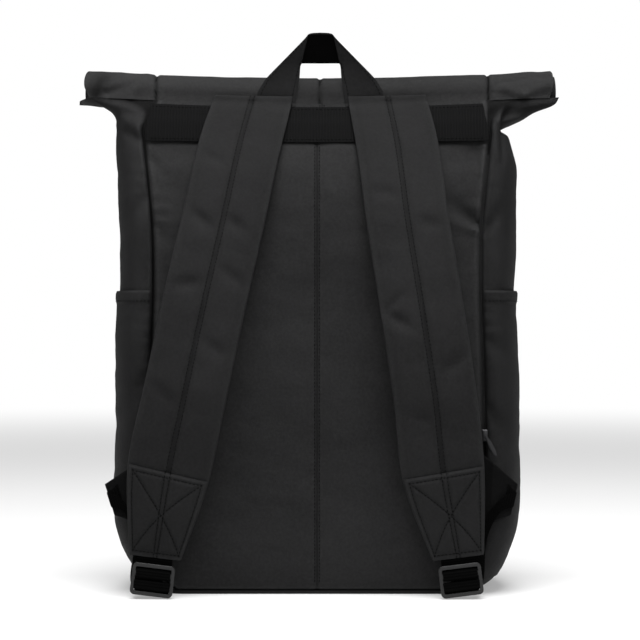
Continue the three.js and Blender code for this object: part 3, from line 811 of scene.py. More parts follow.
@dataclass(frozen=True)
class Route:
    """A smooth route through points, with a direction across it at each."""

    points: Array
    across: Array

    @staticmethod
    def through(points: Array, share: Array) -> Array:
        """Give points of the smooth curve through given points, at shares of their count."""
        padded = np.concatenate([[2 * points[0] - points[1]], points, [2 * points[-1] - points[-2]]])
        place = share * (len(points) - 1)
        i = np.minimum(place.astype(int), len(points) - 2)
        t = (place - i)[:, None]
        p0, p1, p2, p3 = (padded[i + k] for k in range(4))
        gaps = [np.sqrt(np.linalg.norm(b - a, axis=1))[:, None] for a, b in ((p0, p1), (p1, p2), (p2, p3))]
        d1 = np.maximum(gaps[1], 1e-6)
        d0, d2 = (np.where(g < 1e-6, d1, g) for g in (gaps[0], gaps[2]))
        m1 = d1 * ((p1 - p0) / d0 - (p2 - p0) / (d0 + d1) + (p2 - p1) / d1)
        m2 = d1 * ((p2 - p1) / d1 - (p3 - p1) / (d1 + d2) + (p3 - p2) / d2)
        return hermite(t, p1, m1, p2, m2)

    def ribbon(self, width: float, thickness: float, steps: int, pinch: Profile | None = None) -> Slab:
        """Give a flat strip along the route.

        Args:
            width: Its width.
            thickness: Its thickness, less at its selvedges.
            steps: Faces along it.
            pinch: Share of the width that it has along the route, where it is gathered.

        Returns:
            The strip.
        """
        share = np.linspace(0, 1, steps + 1)
        middle = self.through(self.points, share)
        ahead = np.gradient(middle, axis=0)
        across = self.through(self.across, share)
        across /= np.linalg.norm(across, axis=1, keepdims=True)
        off = np.cross(across, ahead)
        off /= np.linalg.norm(off, axis=1, keepdims=True)
        v = np.linspace(-1, 1, 15)
        thick = thickness / 2 * (1 - 0.55 * np.abs(v) ** 12)
        wide = width * (1.0 if pinch is None else pinch.read("wide", share)[:, None])
        edge = middle[:, None] + across[:, None] * (v[None, :] * wide / 2)[..., None]
        rise = off[:, None] * thick[None, :, None]
        return Slab(edge - rise, edge + rise)


class NodesTree:
    """Base of the Geometry Nodes trees, each with named inputs."""

    NAME = ""
    NUMBERS: tuple[str, ...] = ()
    FINISH = "Finish"
    SEED = "Seed"

    def __init__(self) -> None:
        """Build the tree, or take the one built before."""
        self.tree = bpy.data.node_groups.get(self.NAME) or self.build()

    def build(self) -> Tree:
        """Make the tree: its sockets, its own nodes, then Realize Instances and Set Material."""
        tree = bpy.data.node_groups.new(self.NAME, "GeometryNodeTree")
        sockets = tree.interface
        sockets.new_socket("Geometry", in_out="INPUT", socket_type="NodeSocketGeometry")
        for label in self.NUMBERS:
            sockets.new_socket(label, in_out="INPUT", socket_type="NodeSocketFloat")
        sockets.new_socket(self.SEED, in_out="INPUT", socket_type="NodeSocketInt")
        sockets.new_socket(self.FINISH, in_out="INPUT", socket_type="NodeSocketMaterial")
        sockets.new_socket("Geometry", in_out="OUTPUT", socket_type="NodeSocketGeometry")
        given = tree.nodes.new("NodeGroupInput").outputs
        real = add_node(tree, "GeometryNodeRealizeInstances", Geometry=self.shape(tree, given))
        dress = add_node(
            tree, "GeometryNodeSetMaterial", Geometry=real.outputs[0], Material=given[self.FINISH]
        )
        tree.links.new(dress.outputs[0], tree.nodes.new("NodeGroupOutput").inputs["Geometry"])
        return tree

    def shape(self, tree: Tree, given: bpy.types.NodeOutputs) -> Socket:
        """Add the tree's own nodes and give their geometry."""
        raise NotImplementedError

    def run(self, holder: Piece, finish: Finish, **values: float) -> Mesh:
        """Run the tree on an object, which is removed.

        Args:
            holder: The object that holds what goes in.
            finish: Finish of what comes out.
            **values: The named inputs, with underscores for spaces.

        Returns:
            The plain mesh.
        """
        modifier = holder.modifiers.new(self.NAME, "NODES")
        modifier.node_group = self.tree
        given = {key.replace("_", " "): value for key, value in values.items()}
        given[self.FINISH] = finish.build()
        for item in self.tree.interface.items_tree:
            if item.item_type == "SOCKET" and item.in_out == "INPUT" and item.name in given:
                modifier[item.identifier] = given[item.name]
        mesh = evaluated_mesh(holder)
        bpy.data.objects.remove(holder)
        return mesh


class StitchTree(NodesTree):
    """Lays one stitch after another along rows, each a little uneven."""

    NAME = "stitch_rows"
    NUMBERS = ("Spacing", "Length", "Radius")

    def shape(self, tree: Tree, given: bpy.types.NodeOutputs) -> Socket:
        """Put a bead on each point along the rows, turned along them."""
        points = add_node(tree, "GeometryNodeCurveToPoints", Curve=given["Geometry"])
        points.mode = "LENGTH"
        tree.links.new(given["Spacing"], points.inputs["Length"])
        bead = add_node(tree, "GeometryNodeMeshUVSphere", Segments=6, Rings=4, Radius=1.0)
        uneven = tree.nodes.new("FunctionNodeRandomValue")
        uneven.inputs[2].default_value = 0.86
        uneven.inputs[3].default_value = 1.1
        tree.links.new(given[self.SEED], uneven.inputs["Seed"])
        half = reckon(tree, "MULTIPLY", given["Length"], 0.5)
        long = reckon(tree, "MULTIPLY", half, uneven.outputs[1])
        size = add_node(tree, "ShaderNodeCombineXYZ", X=given["Radius"], Y=given["Radius"], Z=long)
        place = add_node(
            tree,
            "GeometryNodeInstanceOnPoints",
            Points=points.outputs["Points"],
            Instance=bead.outputs["Mesh"],
            Rotation=points.outputs["Rotation"],
            Scale=size.outputs[0],
        )
        return place.outputs[0]

    def sew(
        self,
        name: str,
        rows: Iterable[Sequence[Vector]],
        finish: Finish = THREAD_SHADED,
        spacing: float = 3.3 * MM,
        length: float = 2.3 * MM,
        radius: float = 0.42 * MM,
        seed: int = 1,
    ) -> Piece:
        """Sew rows of stitches.

        Args:
            name: Piece name.
            rows: Each row's points.
            finish: The thread's finish.
            spacing: From stitch to stitch.
            length: Seen length of a stitch.
            radius: Half thickness of the thread.
            seed: Picks the unevenness.

        Returns:
            The stitches as one plain mesh object.
        """
        curve = bpy.data.curves.new(f"{name}_rows", "CURVE")
        curve.dimensions = "3D"
        for row in rows:
            spline = curve.splines.new("POLY")
            spline.points.add(len(row) - 1)
            for place, point in zip(spline.points, row):
                place.co = (*point, 1.0)
        holder = linked(f"{name}_rows", curve)
        sizes = {"Spacing": spacing, "Length": length, "Radius": radius, self.SEED: seed}
        return add_object(name, self.run(holder, finish, **sizes), finish, 80.0)


class WindingTree(NodesTree):
    """Winds a flat strip into a roll: a point's y is its place along it, its z its lift."""

    NAME = "wound_mouth"
    NUMBERS = ("Radius", "Pitch", "Turns", "Length", "Rise Share", "Rise", "Axis Y", "Axis Z")

    def shape(self, tree: Tree, given: bpy.types.NodeOutputs) -> Socket:
        """Move each point to its place on the spiral."""
        op = partial(reckon, tree)
        position = tree.nodes.new("GeometryNodeInputPosition").outputs[0]
        flat = add_node(tree, "ShaderNodeSeparateXYZ", Vector=position).outputs
        share = op("DIVIDE", flat["Y"], given["Length"])
        past = op("SUBTRACT", share, given["Rise Share"])
        wound = op("SUBTRACT", 1.0, given["Rise Share"])
        turn = op("DIVIDE", op("MAXIMUM", past, 0.0), wound)
        turn = op("MULTIPLY", turn, given["Turns"])
        angle = op("MULTIPLY", turn, 2 * math.pi)
        inward = op("MULTIPLY", turn, given["Pitch"])
        radius = op("SUBTRACT", given["Radius"], inward)
        radius = op("ADD", radius, flat["Z"])
        back = op("MULTIPLY", radius, op("COSINE", angle))
        up = op("MULTIPLY", radius, op("SINE", angle))
        short = op("MAXIMUM", op("MULTIPLY", past, -1.0), 0.0)
        before = op("DIVIDE", short, given["Rise Share"])
        drop = op("MULTIPLY", before, given["Rise"])
        z = op("SUBTRACT", op("ADD", given["Axis Z"], up), drop)
        y = op("SUBTRACT", given["Axis Y"], back)
        place = add_node(tree, "ShaderNodeCombineXYZ", X=flat["X"], Y=y, Z=z)
        moved = add_node(
            tree, "GeometryNodeSetPosition", Geometry=given["Geometry"], Position=place.outputs[0]
        )
        return moved.outputs[0]


class Sheet(Enum):
    """The bag's five standing panels."""

    BACK_LEFT = "back_panel_left"
    BACK_RIGHT = "back_panel_right"
    GUSSET_LEFT = "gusset_left"
    GUSSET_RIGHT = "gusset_right"
    FRONT = "front_panel"

    @property
    def side(self) -> Side:
        """The side that it is on; the front counts as right."""
        return Side.LEFT if self.value.endswith("left") else Side.RIGHT

    @property
    def seed(self) -> float:
        """Offset that picks its own relief."""
        return 3.7 * (1 + list(Sheet).index(self))


def sheet_of(kind: str, side: Side) -> Sheet:
    """Give the sheet of a kind, such as gusset, on a side."""
    return Sheet(f"{kind}_{side.word}")


@dataclass(frozen=True)
class Panels:
    """The bag's sewn cloth panels and its base."""

    form: BagForm = FORM
    rows: int = 165
    side_dip: float = 3.6 * MM
    side_reach: float = 2.8 * MM
    centre_dip: float = 0.9 * MM
    centre_reach: float = 1.6 * MM
    soft: float = 1.5 * MM
    creased: float = 0.75 * MM
    pucker: float = 0.55 * MM
    fillet: float = 1.05 * MM
    fillet_reach: float = 7 * MM
    band_foot: float = 400.2 * MM
    pucker_pitch: float = 11 * MM
    topstitch: float = 2.1 * MM
    columns: dict[str, int] = field(default_factory=lambda: {"back": 68, "gusset": 72, "front": 90})
    # Folds of each sheet; a last number, where given, is the painted shade on the fold's floor.
    folds: dict[Sheet, tuple[Fold, ...]] = field(
        default_factory=lambda: {
            Sheet.BACK_RIGHT: (
                Fold((0.114, 0.346), (0.145, 0.326), (2.4 * MM, 5.5 * MM), (9 * MM, 3.5 * MM)),
                Fold((0.114, 0.330), (0.143, 0.319), (-1.0 * MM, -2.2 * MM), (6 * MM, 3 * MM)),
                Fold((0.139, 0.392), (0.141, 0.352), (2.6 * MM, 1.2 * MM), (8 * MM, 8 * MM)),
                Fold((0.146, 0.372), (0.150, 0.405), (-1.4 * MM, -0.4 * MM), (3 * MM, 3 * MM)),
            ),
            Sheet.BACK_LEFT: (
                Fold((-0.149, 0.330), (-0.120, 0.300), (2.0 * MM, 0.5 * MM), (4 * MM, 8 * MM)),
                Fold((-0.148, 0.385), (-0.128, 0.362), (1.6 * MM, 0.4 * MM), (4 * MM, 8 * MM)),
                Fold((-0.150, 0.408), (-0.118, 0.400), (-1.0 * MM, -0.3 * MM), (4 * MM, 6 * MM)),
            ),
            Sheet.GUSSET_RIGHT: (
                Fold((0.147, 0.320), (0.167, 0.343), (3.6 * MM, 1.4 * MM), (3 * MM, 8 * MM)),
                Fold((0.1635, 0.380), (0.167, 0.429), (0.6 * MM, 8 * MM), (3 * MM, 4.5 * MM)),
                Fold((0.172, 0.431), (0.196, 0.432), (9 * MM, 6 * MM), (7 * MM, 8 * MM), 0.75),
                Fold((0.158, 0.384), (0.160, 0.432), (-0.8 * MM, -2.4 * MM), (3 * MM, 4 * MM)),
                Fold((0.152, 0.222), (0.176, 0.205), (2 * MM, 0.6 * MM), (5 * MM, 9 * MM)),
                Fold((0.150, 0.165), (0.172, 0.130), (2.6 * MM, 1.4 * MM), (5 * MM, 9 * MM)),
            ),
            Sheet.GUSSET_LEFT: (
                Fold((-0.153, 0.411), (-0.182, 0.427), (-2.6 * MM, -1.4 * MM), (5 * MM, 5 * MM)),
                Fold((-0.152, 0.399), (-0.178, 0.413), (3.2 * MM, 2.2 * MM), (5 * MM, 5 * MM)),
                Fold((-0.186, 0.440), (-0.200, 0.438), (2.2 * MM, 3.4 * MM), (5 * MM, 6 * MM), 0.6),
                Fold((-0.151, 0.350), (-0.176, 0.318), (2.2 * MM, 1 * MM), (6 * MM, 10 * MM)),
                Fold((-0.150, 0.190), (-0.174, 0.150), (2 * MM, 1 * MM), (6 * MM, 9 * MM)),
            ),
        }
    )

    def heights(self) -> Array:
        """Give the rows' heights, closer together near the base and the throat."""
        bottom = self.form.base_thickness - self.form.seam_lap
        return bottom + (self.form.height - bottom) * eased(self.rows, 0.65)

    def flat(self, sheet: Sheet, share: Array, z: Array, out: float) -> Array:
        """Give a sheet's points before its relief.

        Args:
            sheet: Which sheet.
            share: Share of its width, from the centre seam, the back seam or the left seam.
            z: Height.
            out: Distance off its face.

        Returns:
            The points.
        """
        form, lap = self.form, self.form.seam_lap / 2
        if sheet is Sheet.FRONT:
            return form.front((2 * share - 1) * (form.seam(z) + lap), z, out)
        if sheet.value.startswith("gusset"):
            return form.side(sheet.side, (share - 0.5) * math.pi, z, out)
        x = share * (form.seam(z) + 2 * lap) - lap
        return form.back(sheet.side.value * x, z, out)

    def seams(self, sheet: Sheet, share: Array, z: Array) -> tuple[Array, Array]:
        """Give the distances from the side and base seams, and from the centre seam."""
        form = self.form
        base = (z - form.base_thickness) * 1.6
        far = np.full(np.broadcast(share, z).shape, 1.0)
        if sheet is Sheet.FRONT:
            side = np.minimum(share, 1 - share) * 2 * form.seam(z)
        elif sheet.value.startswith("gusset"):
            side = np.minimum(share, 1 - share) * math.pi * form.half(z)
        else:
            side = (1 - share) * form.seam(z)
            far = share * form.seam(z)
        return np.minimum(side, base), far

    def skin(self, sheet: Sheet, share: Array, z: Array, out: Array | float = 0.0) -> Array:
        """Give a sheet's points with the relief of filled, sewn cloth.

        Args:
            sheet: Which sheet.
            share: Share of its width.
            z: Height.
            out: Distance off its face.

        Returns:
            The points, before the mouth's dip.
        """
        form = self.form
        share, z = paired(share, z)
        near = self.flat(sheet, share, z, 0.0)
        outward = near - self.flat(sheet, share, z, -form.wall)
        outward /= np.linalg.norm(outward, axis=-1, keepdims=True)
        side, centre = self.seams(sheet, share, z)
        calm = (1 - bump(side, 7 * MM)) * (1 - 0.7 * bump(centre, 6 * MM))
        relief = self.soft * mottle(near, (0.11, 0.11, 0.085), sheet.seed, 2)
        relief += self.creased * mottle(near, (0.045, 0.045, 0.02), sheet.seed + 7, 3)
        phase = 3.5 * mottle(near, (0.05, 0.05, 0.05), sheet.seed + 3, 1)
        wave = np.sin(2 * np.pi * z / self.pucker_pitch + phase) * (1 + phase) / 2
        relief = relief * calm + self.pucker * wave * np.exp(-side / (12 * MM)) * (1 - bump(side, 2 * MM))
        relief -= self.side_dip * bump(side, self.side_reach)
        relief -= self.centre_dip * bump(centre, self.centre_reach)
        on_back = smoothstep(near[..., 1], 10 * MM, -10 * MM)
        held = smoothstep(side, 0.0, 5 * MM)
        for fold in self.folds.get(sheet, ()):
            relief -= fold.read(near[..., 0], z) * on_back * (0.35 + 0.65 * held)
        thin = 0.2 + 0.8 * smoothstep(z, form.height, 0.955 * form.height)
        relief = np.maximum(relief * thin, -1.5 * form.half(z))
        relief -= 1.4 * MM * self.under_band(sheet, z) * held
        relief += self.fillet * np.maximum(0.0, 1 - (form.height - z) / self.fillet_reach) ** 2
        return near + outward * (relief + out)[..., None]

    def under_band(self, sheet: Sheet, z: Array) -> Array:
        """Give 1 in the crevice along the top band's lower edge, and 0 away from it."""
        if not sheet.value.startswith("back"):
            return 0 * z
        return bump(z - self.band_foot, 1.1 * MM)

    def wear_and_painted_light(self, sheet: Sheet, share: Array, z: Array) -> Array:
        """Give the rubbing beside the seams, and painted shade in them, under the top band and in the
        folds' hollows.
        """
        side, centre = self.seams(sheet, share, z)
        rubbed = 0.8 * bump(side - 4.5 * MM, 2 * MM)
        reach = 1.3 * MM + 0.9 * MM * smoothstep(z, 0.88 * self.form.height, 0.93 * self.form.height)
        # Painted shade in the side and centre seams, then under the top band and in the folds' hollows.
        painted_seam_shade = np.maximum(1.8 * bump(side, reach), 0.9 * bump(centre, 0.7 * MM))
        x = self.flat(sheet, share, z, 0.0)[..., 0]
        painted_shade = sum((fold.dark(x, z) for fold in self.folds.get(sheet, ())), 0 * x)
        painted_seam_shade = np.maximum(painted_seam_shade, 1.3 * self.under_band(sheet, z + 0 * share))
        return rubbed - np.maximum(painted_seam_shade, painted_shade)

    def build(self) -> None:
        """Build every sheet and the base."""
        form = self.form
        z = self.heights()[:, None]
        for sheet in Sheet:
            share = eased(self.columns[sheet.value.split("_")[0]])[None, :]
            near = form.settle(self.skin(sheet, share, z))
            far = form.settle(self.skin(sheet, share, z, -form.wall))
            slab = Slab(near, far, self.wear_and_painted_light(sheet, share, z))
            # The gussets take the darker copy of the cloth, as painted shade.
            finish = GUSSET_CLOTH_SHADED if sheet.value.startswith("gusset") else PANEL_CLOTH
            keep(slab.build(f"{sheet.value}_cloth", finish), Slot.CLOTH, sheet.value)
        self.base()

    def base(self) -> None:
        """Build the base: a flat oval of cloth with a rounded rim."""
        form = self.form
        turns = np.radians(np.linspace(-78, 78, 27))
        seam = float(form.seam(0.0))
        straight = np.linspace(-seam, seam, 30)
        zero = np.zeros(1)
        outline = np.concatenate(
            [
                form.back(straight, zero)[:, :2],
                form.side(Side.RIGHT, turns, zero)[:, :2],
                form.front(straight[::-1], zero)[:, :2],
                form.side(Side.LEFT, turns[::-1], zero)[:, :2],
            ]
        )
        soft = bmesh.new()
        rim = 1.1 * MM
        levels = [(0.0, rim), (rim * 0.3, 0.3 * rim), (rim, 0.0), (form.base_thickness, 0.0)]
        rings = []
        for height, inset in levels:
            shrink = 1 - inset / np.linalg.norm(outline, axis=1, keepdims=True)
            rings.append([soft.verts.new((*point, height)) for point in outline * shrink])
        count = len(outline)
        for lower, upper in zip(rings, rings[1:]):
            for i in range(count):
                j = (i + 1) % count
                soft.faces.new((lower[i], lower[j], upper[j], upper[i]))
        soft.faces.new(rings[0][::-1])
        soft.faces.new(rings[-1])
        bmesh.ops.recalc_face_normals(soft, faces=soft.faces)
        uv = soft.loops.layers.uv.new(UV_NAME)
        for face in soft.faces:
            for loop in face.loops:
                loop[uv].uv = loop.vert.co.xy
        mesh = bpy.data.meshes.new("base_panel_cloth")
        soft.to_mesh(mesh)
        soft.free()
        keep(add_object("base_panel_cloth", mesh, PANEL_CLOTH), Slot.CLOTH, "base_panel")

    def stitches(self) -> None:
        """Sew the two rows beside the centre seam."""
        form = self.form
        z = np.linspace(0.012, form.height - 2 * MM, 400)
        paths = []
        for side in Side:
            share = self.topstitch / form.seam(z)
            paths.append(form.settle(self.skin(sheet_of("back_panel", side), share, z, 0.1 * MM)))
        keep(StitchTree().sew("centre_seam_stitches", as_rows(*paths), seed=3), Slot.CLOTH)


@dataclass(frozen=True)
class SidePocket:
    """A slip pocket on a gusset, sewn in at both side seams, with a stitched hem."""

    side: Side
    panels: Panels
    top: float = 268 * MM
    bottom: float = 14 * MM
    lay: float = 0.35 * MM
    thickness: float = 1.5 * MM
    hem: float = 10 * MM
    hem_thickness: float = 2.4 * MM
    slack: float = 0.7 * MM
    edge: float = 0.014

    def out(self, share: Array, z: Array) -> Array:
        """Give how far the pocket's outer face stands off the gusset."""
        in_hem = smoothstep(z, self.top - 1.15 * self.hem, self.top - 0.95 * self.hem)
        thick = self.thickness + (self.hem_thickness - self.thickness) * in_hem
        rounded = 0.8 * MM * bump(z - self.top, 1.2 * MM)
        sewn = 0.45 * MM * bump(z - self.top + 0.92 * self.hem, 0.9 * MM)
        return self.lay + thick - rounded - sewn + self.loose(share, z)

    def loose(self, share: Array, z: Array) -> Array:
        """Give how far the slack cloth under the lip stands off."""
        rise = smoothstep(z, self.top - 70 * MM, self.top)
        return self.slack * rise * np.sin(math.pi * share) ** 2

    def build(self) -> None:
        """Build the pocket and its hem's stitches."""
        form, panels = self.panels.form, self.panels
        sheet = sheet_of("gusset", self.side)
        share = self.edge + (1 - 2 * self.edge) * eased(64)[None, :]
        z = (self.bottom + (self.top - self.bottom) * eased(130, 0.7))[:, None]
        near = form.settle(panels.skin(sheet, share, z, self.out(share, z)))
        far = form.settle(panels.skin(sheet, share, z, self.lay + self.loose(share, z)))
        name = f"side_pocket_{self.side.word}"
        wear_and_painted_light = 0.9 * bump(z - self.top, 1.5 * MM) + 0 * share
        keep(Slab(near, far, wear_and_painted_light).build(f"{name}_cloth", GUSSET_CLOTH_SHADED), Slot.CLOTH, name)
        along = np.linspace(0.03, 0.97, 160)
        height = np.full_like(along, self.top - 0.92 * self.hem)
        path = panels.skin(sheet, along, height, self.out(along, height) + 0.15 * MM)
        sewn = StitchTree().sew(f"pocket_stitches_{self.side.word}", as_rows(path), seed=11)
        keep(sewn, Slot.CLOTH)


@dataclass(frozen=True)
class AnchorWing:
    """The sewn corner of cloth at a lower side seam that holds a strap's webbing."""

    side: Side
    panels: Panels
    top: float = 125 * MM
    bottom: float = 60 * MM
    tip_top: float = 98 * MM
    tip_bottom: float = 71 * MM
    thickness: float = 2.2 * MM
    inset: float = 3 * MM
    seat: float = 2.55 * MM
    hollow: float = 3.2 * MM
    ridge_at: float = 0.3

    @property
    def reach(self) -> float:
        """Distance from the seam to the tip; the right one is folded back a little."""
        return 38 * MM if self.side is Side.LEFT else 28 * MM

    def tip(self) -> tuple[Array, Array]:
        """Give the outer edge's upper and lower ends."""
        form, sign = self.panels.form, self.side.value
        seam = float(form.seam(self.tip_top))
        y = form.side(self.side, -math.pi / 3, self.tip_top, self.seat)[1]
        top = np.array([sign * (seam + self.reach), y, self.tip_top])
        bottom = np.array([sign * (seam + 0.78 * self.reach), y, self.tip_bottom])
        return top, bottom

    def point(self, up: Array, away: Array, out: Array | float) -> Array:
        """Give points off the wing's inner face.

        Args:
            up: 0 at its lower edge to 1 at its upper one.
            away: 0 at the seam to 1 at the tip.
            out: Distance off its inner face.

        Returns:
            The points.
        """
        form, sign = self.panels.form, self.side.value
        up, away = paired(up, away)
        z = self.bottom + (self.top - self.bottom) * up
        sewn = form.back(sign * (form.seam(z) - self.inset), z, 0.35 * MM)
        ridge = form.side(self.side, np.radians(-72) + 0 * z, z, self.seat)
        top, bottom = self.tip()
        end = bottom + (top - bottom) * up[..., None]
        over = sewn + (end - sewn) * self.ridge_at
        over[..., 1] = ridge[..., 1]
        inner = (away / self.ridge_at)[..., None]
        outer = ((away - self.ridge_at) / (1 - self.ridge_at))[..., None]
        point = np.where(inner < 1, sewn + (over - sewn) * inner, over + (end - over) * outer)
        point[..., 1] -= out
        return point

    def build(self) -> None:
        """Build the wing with raised edges round its hollow, and its hem's stitches."""
        up = eased(40)[:, None]
        away = np.linspace(0, 1, 41)[None, :]
        rim = (2 * up - 1) ** 2
        lift = self.hollow * rim * smoothstep(away, 0.1, 0.5) * (1 - 0.5 * away)
        rounded = 0.9 * MM * bump(np.minimum(up, 1 - up) * 60, 1.0)
        near = self.point(up, away, self.thickness + lift - rounded)
        far = self.point(up, away, 0.8 * lift)
        name = f"anchor_wing_{self.side.word}"
        # Lighter along the lower hem and the tip's edge: rubbed edges and a painted highlight of the lit
        # hem.
        wear_and_painted_light = 0.9 * bump(up, 0.04) + 0.5 * bump(1 - away, 0.04)
        keep(Slab(near, far, wear_and_painted_light).build(f"{name}_cloth", WING_CLOTH_SHADED), Slot.CLOTH, name)
        paths = [
            self.point(0.055, np.linspace(0.05, 0.97, 60), self.thickness + 2.6 * MM),
            self.point(np.linspace(0.03, 0.97, 70), 0.95, self.thickness + 1.5 * MM),
        ]
        piece = bpy.data.objects[f"{name}_cloth"]
        rows = [run for path in paths for run in lay_on(piece, path)]
        keep(StitchTree().sew(f"wing_stitches_{self.side.word}", rows, seed=12), Slot.CLOTH)


@dataclass(frozen=True)
class RolledMouth:
    """The flat mouth wound towards the front, made as a rule: a sheet that follows a spiral."""

    form: BagForm = FORM
    radius: float = 15.3 * MM
    turns: float = 2.25
    gap: float = 0.8 * MM
    rise: float = 8.6 * MM
    rise_share: float = 0.06
    overhang: float = 5 * MM
    short_right: float = 4.5 * MM
    rows: int = 140
    columns: int = 250
    cloth_length: float = 0.2
    corner_from: float = 150 * MM
    crease_at: float = 0.225
    groove_at: tuple[float, ...] = (-148.5 * MM, -1.9 * MM, 148.5 * MM)
    # Folds of the mouth; a last number, where given, is the painted shade on the fold's floor.
    folds: tuple[Fold, ...] = (
        Fold((-0.200, 0.441), (-0.194, 0.455), (3.6 * MM, 2.6 * MM), (5 * MM, 5 * MM), 0.6),
        Fold((-0.192, 0.445), (-0.166, 0.4535), (2.4 * MM, 0.6 * MM), (3.5 * MM, 3.5 * MM)),
        Fold((-0.170, 0.441), (-0.157, 0.460), (-1.0 * MM, -1.2 * MM), (4 * MM, 4 * MM)),
        Fold((0.163, 0.449), (0.180, 0.443), (-1.6 * MM, -2.4 * MM), (4 * MM, 4 * MM)),
        Fold((0.180, 0.443), (0.200, 0.451), (-2.4 * MM, -1.2 * MM), (4 * MM, 4 * MM)),
        Fold((0.157, 0.455), (0.196, 0.459), (1.4 * MM, 1.4 * MM), (3 * MM, 3 * MM)),
    )
    ends: Profile = Profile(
        ("left", "right"),
        [
            (0.0, 0.0, 0.0), (0.07, 0.8, 0.6), (0.12, 0.5, 0.6), (0.165, -0.5, 0.2),
            (0.2, -0.3, 0.2), (0.3, 0.6, 1.0), (0.36, 1.9, 0.9), (0.42, 0.5, 1.2), (0.7, 0.9, 0.8),
            (1.0, 0.6, 1.0),
        ],
    )

    def build(self) -> None:
        """Build the flat cloth, wind it and lay it on the throat."""
        form = self.form
        share = np.linspace(0, 1, self.rows + 1)[:, None]
        across = eased(self.columns, 0.35)[None, :]
        half = float(form.outer(form.height))
        left = -half - self.overhang * self.ends.read("left", share)
        right = half - self.short_right + self.overhang * self.ends.read("right", share)
        x = left + across * (right - left)
        lift = self.relief(x, share, half)
        length = self.cloth_length * share + 0 * x
        faces = [
            np.stack(np.broadcast_arrays(x, length, out + lift), -1)
            for out in (form.throat / 2, -form.throat / 2)
        ]
        end = half + self.overhang - np.abs(x)
        wear_and_painted_light = 0.8 * bump(end, 5 * MM) + 0.35 * bump(share - self.crease_at, 0.02)
        # Painted shade in the seams' grooves and, below, in the folds' hollows.
        for place in self.groove_at:
            wear_and_painted_light = wear_and_painted_light - 1.2 * bump(x - place, 1.0 * MM) * (share < 0.19)
        for fold in self.folds:
            up = form.height + self.rise * share / self.rise_share
            wear_and_painted_light = wear_and_painted_light - fold.dark(x, up)
        holder = Slab(faces[0], faces[1], wear_and_painted_light + 0 * x).build("flat_mouth", ROLL_CLOTH_LIT)
        given = {
            "Radius": self.radius,
            "Pitch": form.throat + self.gap,
            "Turns": self.turns,
            "Length": self.cloth_length,
            "Rise_Share": self.rise_share,
            "Rise": self.rise + 0.4 * MM,
            "Axis_Y": float(form.mid(form.height)) + self.radius,
            "Axis_Z": form.height + self.rise,
        }
        mesh = WindingTree().run(holder, ROLL_CLOTH_LIT, **given)
        set_points(mesh, form.settle(points_of(mesh)))
        keep(add_object("roll_top_cloth", mesh, ROLL_CLOTH_LIT), Slot.CLOTH, "roll_top")

    def relief(self, x: Array, share: Array, half: float) -> Array:
        """Give the cloth's lift: slack, creases, the seams' grooves and the long crease."""
        flat = np.stack(np.broadcast_arrays(x, 0 * x, share * self.cloth_length), -1)
        near_end = bump(half + self.overhang - np.abs(x), 30 * MM)
        slack = 1.1 * MM * mottle(flat, (0.14, 1, 0.05), 37.0, 2)
        crease = 0.7 * MM * mottle(flat, (0.05, 1, 0.02), 31.0, 3) * (1 + 2.2 * near_end)
        lift = (slack + crease) * smoothstep(share, self.rise_share, 0.15)
        lift = lift * (1 - 0.8 * smoothstep(share, 0.38, 0.5))
        lift -= 1.1 * MM * bump(share - self.crease_at, 0.016)
        lift += 0.5 * MM * bump(share - self.crease_at - 0.03, 0.016)
        shown = 1 - smoothstep(share, 0.17, 0.2)
        for place in self.groove_at:
            lift -= 1.9 * MM * bump(x - place, 1.5 * MM) * shown
        risen = self.rise * share / self.rise_share
        turn = 2 * np.pi * self.turns * np.maximum(0.0, share - self.rise_share)
        up = np.minimum(risen, self.rise) + self.radius * np.sin(turn / (1 - self.rise_share))
        for fold in self.folds:
            lift -= fold.read(x, self.form.height + up) * shown
        outside = np.clip((np.abs(x) - self.corner_from) / (half - self.corner_from), 0, 1)
        thinner = 1 - np.sqrt(1 - outside**2)
        lift -= 1.7 * MM * thinner * (1 - smoothstep(share, 0.0, self.rise_share))
        return lift + 1.05 * MM * np.maximum(0.0, 1 - risen / (7 * MM)) ** 2


